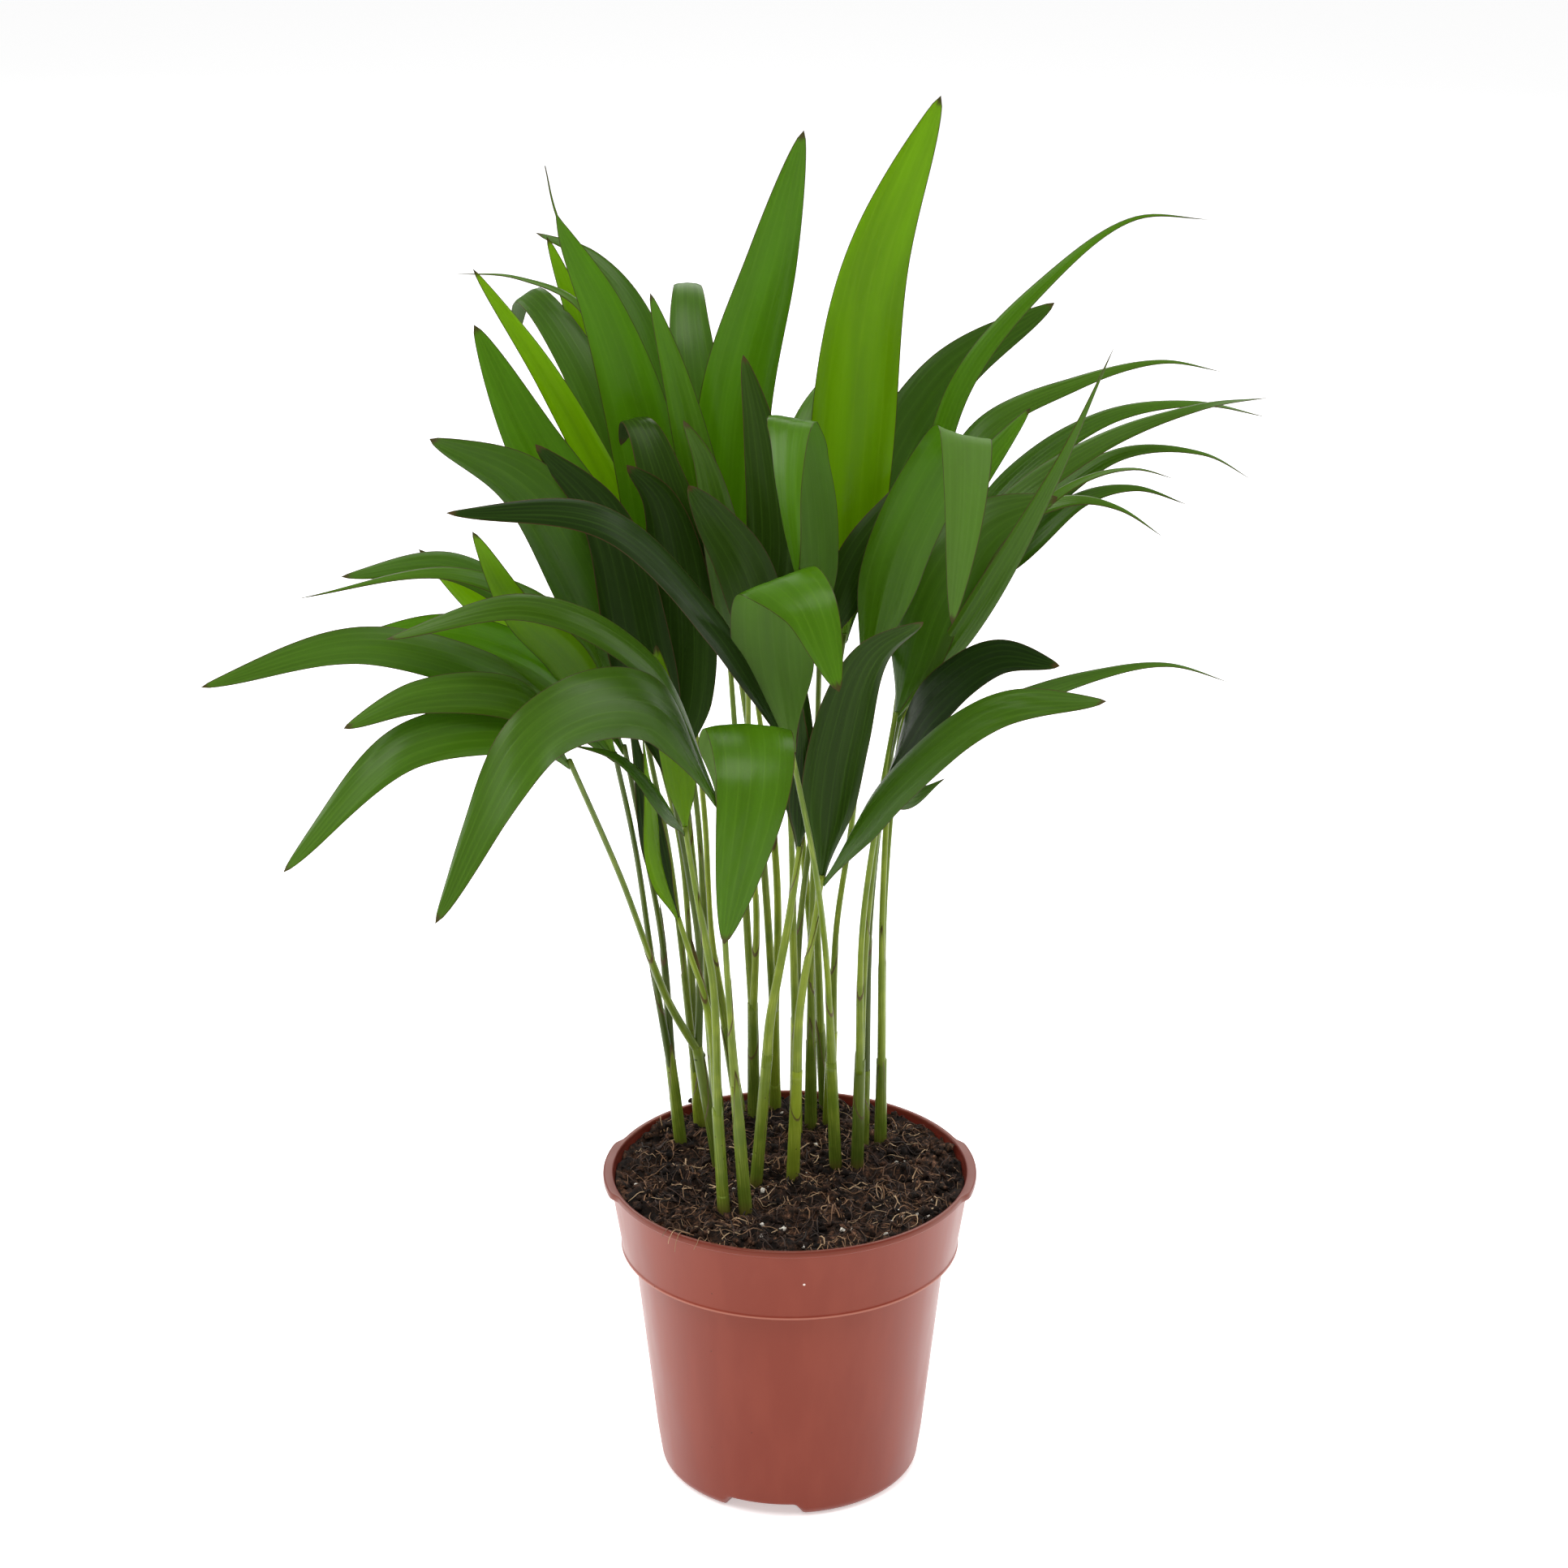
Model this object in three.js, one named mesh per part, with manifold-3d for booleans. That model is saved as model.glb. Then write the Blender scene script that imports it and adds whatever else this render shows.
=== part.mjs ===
// A potted areca palm: a nursery pot full of soil, nineteen shoots standing in it, and thirty fronds on the shoots.
// Millimetres, +Z up, the pot's feet on z = 0 and its axis on the Z axis. The front is -Y.
import * as THREE from 'three';
import { mergeGeometries, mergeVertices } from 'three/addons/utils/BufferGeometryUtils.js';
import Module from 'manifold-3d';

const wasm = await Module();
wasm.setup();

// Pot: a 12 cm injection-moulded nursery pot.
const potHeight = 105;
const rimRadius = 59;
const lipHeight = 2.2;
const collarTop = 58.3;
const collarFoot = 54.8;
const collarHeight = 26;
const bodyTop = 51;
const bodyFoot = 42.4;
const footRadius = 39.9;
const wall = 1.3;
const recess = 3.9;
const footWidth = 3.6;
const footGap = { count: 3, spread: 33, centre: -102.5, height: 4.5 };
const grip = { reach: 1.6, spread: 39 };
const drain = { count: 6, radius: 2.7, ring: 22 };
const potSides = 48;

// Soil: filled to a few millimetres under the rim, a little higher at the back.
const soilLevel = 101.6;
const soilSlope = 0.032;
const gap = 0.3;
const socketDepth = 9;

// Shoots: where each stands in the soil and how far it rises out of it.
const shootRadius = { foot: 2.3, head: 2.1 };
const shoots = [
  { at: [-36, 22], rise: 32 },
  { at: [-30, 35], rise: 24 },
  { at: [-23, 5], rise: 44 },
  { at: [-24, 42], rise: 38 },
  { at: [-17, 46], rise: 30 },
  { at: [-21, -24], rise: 36 },
  { at: [-14, -24], rise: 46 },
  { at: [-12, 40], rise: 42 },
  { at: [-11, -5], rise: 48 },
  { at: [-5, 47], rise: 36 },
  { at: [1, -2], rise: 40 },
  { at: [2, 28], rise: 44 },
  { at: [7, 34], rise: 34 },
  { at: [13, 37], rise: 36 },
  { at: [15, 7], rise: 42 },
  { at: [12, 47], rise: 30 },
  { at: [22, 7], rise: 38 },
  { at: [24, 21], rise: 28 },
  { at: [30, 24], rise: 30 },
];

// Fronds: the shoot that each grows from (counted from 1), the points that its stalk bends through, and its blades.
// A blade has its width, the way its right-hand edge lies, and the points from the stalk's end to the tip.
const blade = (wide, edge, ...path) => ({ wide, edge, path });
const stalkRadius = { foot: 1.1, neck: 0.85 };
const footOffset = 1.4;
const bladeThickness = 0.9;
const bladeRoot = 3;
const bladeSteps = 8;
const fronds = [
  {
    shoot: 7,
    stalk: [[-18, -27, 160], [-20, -34, 202], [-21, -42, 250]],
    blades: [
      blade(25, [-1, 0, 0], [-18, -52, 267], [-13, -72, 283], [-11, -92, 275], [-19, -100, 226]),
      blade(21, [0, 5, 7], [-41, -62, 286], [-72, -100, 290], [-99, -128, 244]),
      blade(12, [0, 1, 1], [-41, -52, 294], [-75, -72, 319], [-114, -90, 315]),
    ],
  },
  {
    shoot: 3,
    stalk: [[-38, -2, 163], [-52, -30, 219], [-65, -58, 267]],
    blades: [
      blade(15, [0, 5, 7], [-76, -72, 280], [-109, -95, 284], [-143, -112, 253]),
      blade(14, [0, 1, 1], [-77, -72, 290], [-104, -90, 298], [-125, -106, 294]),
      blade(10, [0, 1, 1], [-76, -63, 279], [-97, -74, 281]),
    ],
  },
  {
    shoot: 1,
    stalk: [[-44, 12, 171], [-48, -8, 218], [-53, -30, 259]],
    blades: [
      blade(14, [0, 5, 6], [-75, -50, 284], [-120, -90, 313], [-161, -126, 313]),
      blade(15, [0, 5, 7], [-68, -40, 285], [-97, -60, 307], [-130, -80, 310]),
      blade(13, [5, 1, 3], [-65, -42, 291], [-79, -56, 312], [-91, -64, 339]),
    ],
  },
  {
    shoot: 1,
    stalk: [[-41, 20, 173], [-45, 5, 210], [-51, -12, 255]],
    blades: [
      blade(10, [0, 1, 1], [-62, -28, 294], [-97, -60, 325], [-140, -84, 325]),
      blade(14, [0, 1, 1], [-70, -18, 291], [-99, -34, 319], [-131, -50, 321]),
      blade(12, [5, 1, 4], [-71, -16, 286], [-91, -20, 301], [-111, -22, 321]),
    ],
  },
  {
    shoot: 2,
    stalk: [[-36, 24, 180], [-39, 12, 214], [-46, 4, 258]],
    blades: [
      blade(24, [6, 1, 5], [-58, -4, 297], [-78, -28, 342], [-104, -48, 362]),
      blade(23, [8, 1, 4], [-59, 16, 305], [-81, 22, 344], [-97, 30, 377]),
    ],
  },
  {
    shoot: 4,
    stalk: [[-28, 42, 170], [-30, 36, 215], [-37, 30, 272]],
    blades: [
      blade(22, [8, 1, 3], [-44, 26, 337], [-56, 22, 381], [-70, 18, 413], [-73, 14, 429]),
      blade(11, [5, 2, 4], [-50, 36, 308], [-74, 34, 358], [-97, 32, 394]),
    ],
  },
  {
    shoot: 5,
    stalk: [[-26, 50, 166], [-28, 48, 210], [-33, 44, 262]],
    blades: [
      blade(16, [8, 1, 5], [-50, 48, 316], [-66, 60, 356], [-84, 80, 375], [-90, 100, 355]),
      blade(9, [0, 1, 1], [-53, 54, 330], [-65, 62, 374], [-86, 68, 383], [-107, 74, 383]),
      blade(14, [8, 0, 3], [-45, 60, 317], [-59, 66, 350], [-77, 74, 395]),
      blade(12, [2, 3, 5], [-36, 70, 309], [-48, 90, 363], [-64, 100, 382], [-83, 108, 389]),
    ],
  },
  {
    shoot: 8,
    stalk: [[-14, 42, 170], [-16, 38, 214], [-20, 30, 283]],
    blades: [
      blade(23, [1, 0, 0], [-16, 22, 354], [-5, 16, 400], [4, 12, 440]),
      blade(17, [1, 0, 0], [-27, 50, 330], [-32, 66, 368], [-33, 82, 378], [-35, 100, 364]),
    ],
  },
  {
    shoot: 10,
    stalk: [[-7, 44, 169], [-10, 40, 213], [-17, 26, 274]],
    blades: [
      blade(13, [5, 0, 1], [-27, 16, 329], [-35, 12, 366], [-42, 8, 392]),
      blade(18, [5, 1, 1], [-34, -2, 324], [-44, 6, 350], [-48, 12, 352], [-52, 18, 342]),
    ],
  },
  {
    shoot: 12,
    stalk: [[3, 28, 176], [8, 24, 220], [17, 16, 282]],
    blades: [
      blade(26, [6, 0, -2], [18, 10, 341], [25, 6, 400], [44, 2, 452]),
      blade(21, [5, -2, -6], [25, 32, 315], [49, 61, 352], [85, 86, 371]),
    ],
  },
  {
    shoot: 13,
    stalk: [[7, 26, 176], [8, 14, 223], [9, -8, 285]],
    blades: [
      blade(19, [-1, 0, 0], [8, -18, 329], [4, -26, 357], [0, -44, 366], [-1, -56, 351], [2, -56, 322]),
      blade(14, [5, 0, -4], [21, -2, 312], [33, 6, 327], [44, 14, 340]),
    ],
  },
  {
    shoot: 14,
    stalk: [[15, 28, 176], [20, 14, 223], [22, -4, 270]],
    blades: [
      blade(20, [8, 0, -3], [32, -14, 318], [46, -24, 351], [50, -42, 361], [50, -54, 345], [47, -58, 309]),
      blade(14, [6, -1, -5], [31, 22, 288], [54, 38, 320], [76, 56, 344]),
    ],
  },
  {
    shoot: 15,
    stalk: [[12, -8, 175], [8, -28, 219], [0, -46, 268]],
    blades: [
      blade(15, [0, 6, 6], [-22, -60, 310], [-53, -80, 347], [-95, -100, 355]),
      blade(25, [-6, 0, -2], [-5, -50, 301], [-4, -62, 324], [5, -78, 322], [14, -86, 298]),
    ],
  },
  {
    shoot: 11,
    stalk: [[3, -8, 163], [7, -14, 193], [10, -20, 215]],
    blades: [
      blade(19, [6, 1, -3], [15, -28, 260], [24, -40, 293], [39, -52, 308]),
      blade(17, [0, -5, -6], [33, -40, 254], [61, -66, 286], [90, -88, 296]),
    ],
  },
  {
    shoot: 17,
    stalk: [[23, 6, 185], [27, 4, 222], [33, 5, 260]],
    blades: [
      blade(23, [3, -3, -6], [44, 6, 298], [60, 14, 318], [83, 24, 324]),
      blade(9, [6, 0, -4], [54, 0, 289], [79, -6, 338], [96, -12, 381]),
    ],
  },
  {
    shoot: 17,
    stalk: [[24, 10, 176], [27, 9, 212], [30, 8, 239]],
    blades: [
      blade(17, [1, -4, -6], [43, -12, 269], [62, -28, 289], [80, -42, 291]),
      blade(7, [0, -1, -1], [58, 22, 251], [99, 50, 257], [123, 60, 257], [146, 70, 247]),
      blade(10, [0, -4, -5], [38, 20, 226], [50, 32, 228]),
    ],
  },
  {
    shoot: 19,
    stalk: [[30, 24, 191], [33, 30, 245], [40, 40, 291]],
    blades: [
      blade(8, [3, -2, -5], [52, 44, 352], [82, 58, 386], [108, 68, 402], [133, 76, 400]),
      blade(9, [0, -1, -1], [59, 62, 332], [93, 84, 345], [121, 96, 349], [143, 106, 343]),
      blade(9, [0, -1, -1], [63, 42, 312], [100, 64, 331], [132, 80, 338], [158, 104, 335]),
    ],
  },
  {
    shoot: 19,
    stalk: [[31, 32, 191], [36, 44, 240], [46, 56, 280]],
    blades: [
      blade(9, [0, -1, -1], [67, 72, 311], [102, 92, 331], [133, 104, 333], [160, 120, 324]),
      blade(8, [0, -1, -1], [72, 60, 303], [106, 74, 324], [134, 82, 322], [152, 88, 311]),
      blade(10, [0, -1, -1], [69, 50, 296], [93, 60, 313], [111, 66, 315], [129, 70, 308]),
      blade(15, [5, -1, -3], [50, 74, 300], [56, 98, 314], [60, 118, 316]),
    ],
  },
  {
    shoot: 18,
    stalk: [[26, 20, 187], [31, 22, 234], [40, 24, 275]],
    blades: [
      blade(9, [0, -1, -1], [62, 34, 309], [88, 38, 319], [103, 40, 316], [119, 42, 305]),
      blade(7, [0, -1, -1], [64, 26, 307], [89, 26, 328], [106, 24, 333], [120, 22, 330]),
    ],
  },
  {
    shoot: 9,
    stalk: [[-6, -8, 163], [-1, -8, 191], [3, -12, 222]],
    blades: [
      blade(9, [1, 0, 0], [4, -24, 254], [3, -34, 281]),
      blade(12, [1, 0, 0], [1, -14, 262], [-2, -18, 290], [-4, -20, 310]),
    ],
  },
  {
    shoot: 16,
    stalk: [[9, 48, 167], [7, 50, 210], [3, 50, 266]],
    blades: [
      blade(14, [1, 0, 0], [7, 48, 310], [14, 46, 333]),
      blade(13, [1, 0, 0], [15, 70, 287], [25, 96, 307], [30, 124, 310]),
    ],
  },
  {
    shoot: 16,
    stalk: [[7, 56, 164], [3, 66, 203], [-4, 72, 253]],
    blades: [
      blade(20, [1, 0, 0], [-9, 88, 298], [-12, 110, 314], [-13, 126, 315]),
      blade(16, [1, 0, 1], [-18, 84, 282], [-31, 100, 300], [-42, 118, 300]),
    ],
  },
  {
    shoot: 6,
    stalk: [[-24, -22, 180], [-28, -26, 206], [-32, -30, 235]],
    blades: [
      blade(11, [1, 0, 0], [-35, -30, 261], [-38, -32, 277], [-40, -34, 295]),
      blade(9, [0, 1, 1], [-39, -44, 249], [-51, -56, 267], [-65, -66, 275]),
    ],
  },
  {
    shoot: 6,
    stalk: [[-26, -14, 168], [-31, -10, 183], [-35, -10, 197]],
    blades: [
      blade(10, [1, 0, 0], [-41, -14, 218], [-43, -18, 238], [-45, -22, 264]),
      blade(9, [1, 0, 0], [-40, -12, 212], [-46, -16, 250], [-51, -18, 277]),
    ],
  },
  {
    shoot: 3,
    stalk: [[-29, 8, 176], [-32, 2, 206], [-37, -8, 242]],
    blades: [
      blade(20, [7, 1, 3], [-45, -14, 287], [-55, -20, 330], [-75, -28, 355]),
      blade(22, [7, 0, 2], [-33, -3, 288], [-39, -7, 331], [-49, -11, 344]),
    ],
  },
  {
    shoot: 8,
    stalk: [[-11, 36, 178], [-13, 22, 220], [-13, 6, 272]],
    blades: [
      blade(16, [1, 0, 0], [-6, -2, 314], [-9, -6, 351], [-14, -8, 377]),
      blade(13, [1, 0, 1], [-20, -6, 314], [-26, -8, 344], [-32, -8, 357]),
    ],
  },
  {
    shoot: 10,
    stalk: [[-4, 50, 175], [-6, 56, 207], [-12, 60, 254]],
    blades: [
      blade(14, [1, 0, 0], [-18, 74, 300], [-20, 94, 338], [-22, 112, 352]),
      blade(15, [1, 0, 0], [-4, 76, 296], [6, 98, 330], [14, 114, 342]),
    ],
  },
  {
    shoot: 4,
    stalk: [[-30, 52, 165], [-34, 58, 206], [-42, 66, 246]],
    blades: [
      blade(18, [4, 0, 3], [-55, 84, 271], [-66, 104, 279], [-78, 120, 286]),
      blade(18, [1, 0, 0], [-47, 90, 264], [-50, 112, 274], [-54, 128, 275]),
    ],
  },
  {
    shoot: 12,
    stalk: [[1, 20, 179], [0, 8, 226], [-5, -6, 279]],
    blades: [
      blade(18, [1, 0, 1], [-14, -16, 313], [-23, -22, 330], [-30, -30, 343]),
      blade(14, [1, 0, 0], [4, -4, 291], [6, 6, 307], [6, 16, 318]),
    ],
  },
  {
    shoot: 2,
    stalk: [[-33, 34, 173], [-36, 36, 206], [-47, 40, 252]],
    blades: [
      blade(18, [6, 0, 4], [-58, 46, 285], [-68, 50, 303], [-77, 54, 318]),
      blade(14, [6, 0, 4], [-63, 46, 296], [-79, 50, 330], [-92, 54, 346]),
    ],
  },
];

// Joins and cuts leave slivers: edges shorter than this are folded away.
const sliver = 0.04;

const radians = (degrees) => THREE.MathUtils.degToRad(degrees);
const point = (list) => new THREE.Vector3(...list);

// A closed geometry as a solid that can be cut and joined.
function solid(geometry) {
  geometry.deleteAttribute('normal');
  geometry.deleteAttribute('uv');
  const merged = mergeVertices(geometry, 1e-4);
  return new wasm.Manifold(
    new wasm.Mesh({
      numProp: 3,
      vertProperties: new Float32Array(merged.attributes.position.array),
      triVerts: new Uint32Array(merged.index.array),
    }),
  );
}

// A joined or cut solid without its slivers.
function cleaned(made) {
  return made.asOriginal().simplify(sliver);
}

// A solid as a named mesh.
function meshOf(name, made, color, roughness) {
  const data = made.getMesh();
  const geometry = new THREE.BufferGeometry();
  geometry.setAttribute('position', new THREE.BufferAttribute(data.vertProperties, 3));
  geometry.setIndex(new THREE.BufferAttribute(data.triVerts, 1));
  geometry.computeVertexNormals();
  const mesh = new THREE.Mesh(geometry, new THREE.MeshStandardMaterial({ color, roughness }));
  mesh.name = name;
  return mesh;
}

// A profile of [radius, height] points, turned round the Z axis.
function turned(profile, sides) {
  const outline = profile.map(([radius, height]) => new THREE.Vector2(radius, height));
  return new THREE.LatheGeometry(outline, sides).rotateX(Math.PI / 2);
}

// A part of a flat ring, from one height to another, spread evenly about a centre angle.
function ringPart(inner, outer, low, high, centre, spread) {
  const from = radians(centre - spread / 2);
  const to = radians(centre + spread / 2);
  const outline = new THREE.Shape();
  outline.absarc(0, 0, outer, from, to, false);
  outline.absarc(0, 0, inner, to, from, true);
  const ring = new THREE.ExtrudeGeometry(outline, { depth: high - low, bevelEnabled: false, curveSegments: 6 });
  return solid(ring.translate(0, 0, low));
}

function pot() {
  const ledge = potHeight - collarHeight;
  const neck = potHeight - lipHeight;
  const corner = 3.4;
  const profile = [
    [0, recess],
    [footRadius - footWidth, recess],
    [footRadius - footWidth + 0.5, 0],
    [footRadius - 0.6, 0],
    [footRadius, 0.3],
    [bodyFoot - 0.6, corner * 0.5],
    [bodyFoot + 0.2, corner],
    [bodyTop, ledge],
    [collarFoot, ledge],
    [collarTop, neck],
    [rimRadius, neck + 0.2],
    [rimRadius, potHeight - 0.3],
    [rimRadius - 0.5, potHeight],
    [collarTop - wall, potHeight],
    [collarFoot - wall, ledge + wall],
    [bodyTop - wall, ledge + wall],
    [bodyFoot - wall, recess + wall + 2],
    [bodyFoot - wall - 2, recess + wall],
    [0, recess + wall],
  ];
  let made = solid(turned(profile, potSides));
  for (const side of [0, 180]) {
    const inner = collarTop - wall / 2;
    made = made.add(ringPart(inner, rimRadius + grip.reach, neck + 0.2, potHeight - 0.2, side, grip.spread));
  }
  for (let k = 0; k < footGap.count; k++) {
    const centre = footGap.centre + (360 / footGap.count) * k;
    made = made.subtract(ringPart(footRadius - footWidth - 1, 50, -1, footGap.height, centre, footGap.spread));
  }
  for (let k = 0; k < drain.count; k++) {
    const angle = radians((360 / drain.count) * k);
    const hole = new THREE.CylinderGeometry(drain.radius, drain.radius, 10, 12).rotateX(Math.PI / 2);
    hole.translate(drain.ring * Math.cos(angle), drain.ring * Math.sin(angle), recess);
    made = made.subtract(solid(hole));
  }
  return made;
}

// The soil's height: higher at the back, with low mounds.
function soilHeight(x, y) {
  const mounds = 0.7 * Math.sin(0.19 * x + 0.8) * Math.cos(0.23 * y) + 0.5 * Math.sin(0.41 * x - 0.33 * y);
  return soilLevel + soilSlope * y + mounds;
}

function soil(sockets) {
  const floor = recess + wall + gap;
  const ledge = potHeight - collarHeight + wall + gap;
  const innerTop = collarTop - wall - 1.5;
  const rings = [0.8, 0.6, 0.4, 0.2].map((share) => [innerTop * share, soilLevel]);
  const profile = [
    [0, floor],
    [bodyFoot - wall - 2 - gap, floor],
    [bodyFoot - wall - gap, floor + 2],
    [bodyTop - wall - gap, ledge],
    [collarFoot - wall - gap, ledge],
    [innerTop, soilLevel],
    ...rings,
    [0, soilLevel],
  ];
  const heap = turned(profile, 32);
  const place = heap.attributes.position;
  for (let i = 0; i < place.count; i++) {
    const isTop = place.getZ(i) > soilLevel - 1;
    if (isTop) place.setZ(i, soilHeight(place.getX(i), place.getY(i)));
  }
  return cleaned(sockets.reduce((made, socket) => made.subtract(socket), solid(heap)));
}

// Bends a straight form, which stands on Y from -0.5 to 0.5, along a curve.
// place gives how far a vertex lies toward the edge and toward the upper face.
function bent(form, curve, edge, place) {
  const spots = form.attributes.position;
  const spot = new THREE.Vector3();
  for (let i = 0; i < spots.count; i++) {
    spot.fromBufferAttribute(spots, i);
    const share = THREE.MathUtils.clamp(spot.y + 0.5, 0, 1);
    const along = curve.getTangentAt(share);
    const across = point(edge).addScaledVector(along, -point(edge).dot(along)).normalize();
    const over = new THREE.Vector3().crossVectors(across, along);
    const [sideways, upward] = place(share, spot.x, spot.z);
    const at = curve.getPointAt(share).addScaledVector(across, sideways).addScaledVector(over, upward);
    spots.setXYZ(i, at.x, at.y, at.z);
  }
  return solid(form);
}

// A round stem along a curve, with a radius at each end.
function stem(curve, foot, head, sides, steps) {
  const form = new THREE.CylinderGeometry(1, 1, 1, sides, steps);
  return bent(form, curve, [1, 0.2, 0], (share, x, z) => {
    const radius = foot + (head - foot) * share;
    return [x * radius, z * radius];
  });
}

// Half the blade's width at a share of its length: narrow at the base, widest before the middle, then a long point.
function halfWidth(wide, share) {
  const warped = Math.pow(0.05 + 0.95 * share, 0.8);
  return (wide / 2) * Math.pow(Math.sin(Math.PI * Math.min(warped, 1)), 0.9);
}

// A blade: an upper and a lower face bent along one midline. They meet along the edges, which hang a little, and at
// the base and the tip.
function leafBlade(root, { wide, edge, path }) {
  const curve = new THREE.CatmullRomCurve3([root, ...path.map(point)]);
  const upper = new THREE.PlaneGeometry(2, 1, 2, bladeSteps).translate(0, 0, 1);
  const lower = new THREE.PlaneGeometry(2, 1, 2, bladeSteps).translate(0, 0, -1);
  lower.index.array.reverse();
  return bent(mergeGeometries([upper, lower]), curve, edge, (share, x, z) => {
    const half = halfWidth(wide, share);
    const thick = bladeThickness * Math.min(1, 6 * share, 3 * (1 - share));
    return [x * half, (z * thick * (1 - Math.abs(x))) / 2 - 0.08 * half * x * x];
  });
}

// Where a shoot's head is: on the way to the first bend of the stalks that it carries.
function shootHead({ at: [x, y], rise }, carried) {
  const ground = soilHeight(x, y);
  const aims = carried.map((frond) => point(frond.stalk[0]));
  const aim = aims.reduce((sum, next) => sum.add(next), new THREE.Vector3()).divideScalar(aims.length);
  const foot = new THREE.Vector3(x, y, ground);
  return foot.clone().lerp(aim, rise / (aim.z - ground));
}

// A shoot's midline, from inside the soil to its head.
function shootLine(shoot, head, depth) {
  const ground = new THREE.Vector3(...shoot.at, soilHeight(...shoot.at));
  const down = ground.clone().sub(head).normalize();
  const start = ground.clone().addScaledVector(down, depth);
  return new THREE.CatmullRomCurve3([start, ground, head]);
}

function frondSolid({ stalk, blades }, head, away) {
  const first = point(stalk[0]);
  const rising = first.clone().sub(head).normalize();
  const foot = head.clone().addScaledVector(rising, gap).add(away);
  const curve = new THREE.CatmullRomCurve3([foot, ...stalk.map(point)]);
  const root = curve.getPointAt(1 - bladeRoot / curve.getLength());
  const made = stem(curve, stalkRadius.foot, stalkRadius.neck, 5, 6);
  return cleaned(blades.reduce((joined, one) => joined.add(leafBlade(root, one)), made));
}

const group = new THREE.Group();
const frondSolids = [];
const sockets = [];
const two = (number) => String(number).padStart(2, '0');

group.add(meshOf('pot', pot(), '#9c5140', 0.45));
shoots.forEach((shoot, index) => {
  const carried = fronds.filter((frond) => frond.shoot === index + 1);
  const head = shootHead(shoot, carried);
  const line = shootLine(shoot, head, socketDepth);
  group.add(meshOf(`shoot_${two(index + 1)}`, stem(line, shootRadius.foot, shootRadius.head, 8, 4), '#5f7f2c', 0.5));
  const hole = shootRadius.foot + gap + 0.1;
  sockets.push(stem(shootLine(shoot, head, socketDepth + gap), hole, hole, 8, 4));
  const middle = carried.reduce((sum, { stalk }) => sum.add(point(stalk[0])), new THREE.Vector3());
  middle.divideScalar(carried.length);
  for (const frond of carried) {
    const away = point(frond.stalk[0]).sub(middle).setZ(0);
    if (carried.length > 1) away.setLength(footOffset);
    frondSolids[fronds.indexOf(frond)] = frondSolid(frond, head, away);
  }
});
group.add(meshOf('soil', soil(sockets), '#33241b', 0.95));
frondSolids.forEach((made, index) => {
  group.add(meshOf(`frond_${two(index + 1)}`, made, '#3f7d1f', 0.4));
});

export default group;
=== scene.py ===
import math
import random

import bmesh
import bpy
from mathutils import Matrix, Vector, noise


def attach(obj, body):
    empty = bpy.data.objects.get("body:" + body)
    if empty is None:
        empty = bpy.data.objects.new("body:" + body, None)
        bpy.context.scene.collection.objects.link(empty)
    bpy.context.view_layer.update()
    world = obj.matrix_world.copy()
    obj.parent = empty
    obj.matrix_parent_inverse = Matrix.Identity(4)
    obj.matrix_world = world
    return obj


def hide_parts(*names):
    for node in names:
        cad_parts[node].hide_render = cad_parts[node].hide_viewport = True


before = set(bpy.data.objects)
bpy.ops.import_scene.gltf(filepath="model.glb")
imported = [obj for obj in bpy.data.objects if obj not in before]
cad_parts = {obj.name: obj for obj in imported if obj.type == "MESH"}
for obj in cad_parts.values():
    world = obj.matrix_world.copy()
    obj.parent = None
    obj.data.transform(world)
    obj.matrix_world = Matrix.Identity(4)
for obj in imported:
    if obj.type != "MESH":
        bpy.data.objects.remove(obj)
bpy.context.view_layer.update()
print("frame loaded")

mm = 0.001
scene = bpy.context.scene


def linear(hexColour):
    parts = [int(hexColour[i : i + 2], 16) / 255 for i in (1, 3, 5)]
    return tuple(p / 12.92 if p < 0.04045 else ((p + 0.055) / 1.055) ** 2.4 for p in parts) + (1.0,)


def node(tree, kind, inputs=None, **settings):
    made = tree.nodes.new("ShaderNode" + kind)
    for name, value in settings.items():
        setattr(made, name, value)
    for name, value in (inputs or {}).items():
        if isinstance(value, bpy.types.NodeSocket):
            tree.links.new(value, made.inputs[name])
        else:
            made.inputs[name].default_value = value
    return made


def ramp(tree, factor, stops):
    made = node(tree, "ValToRGB", {"Fac": factor})
    points = made.color_ramp.elements
    while len(points) < len(stops):
        points.new(0.5)
    for point, (place, colour) in zip(points, stops):
        point.position = place
        point.color = linear(colour)
    return made.outputs["Color"]


def math2(tree, operation, a, b=0.0, clamp=False):
    return node(tree, "Math", {0: a, 1: b}, operation=operation, use_clamp=clamp).outputs[0]


def blended(tree, factor, a, b, way="MIX"):
    made = node(tree, "Mix", {0: factor, 6: a, 7: b}, data_type="RGBA", blend_type=way)
    return made.outputs[2]


def between(tree, value, low, high, toLow=0.0, toHigh=1.0):
    inputs = {"Value": value, "From Min": low, "From Max": high, "To Min": toLow, "To Max": toHigh}
    return node(tree, "MapRange", inputs, interpolation_type="SMOOTHSTEP").outputs["Result"]


def blankMaterial(name):
    made = bpy.data.materials.new(name)
    made.use_nodes = True
    tree = made.node_tree
    tree.nodes.clear()
    return made, tree


def finished(tree, surface):
    node(tree, "OutputMaterial", {"Surface": surface})


def smoothstep(low, high, value):
    share = min(max((value - low) / (high - low), 0.0), 1.0)
    return share * share * (3 - 2 * share)


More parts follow.
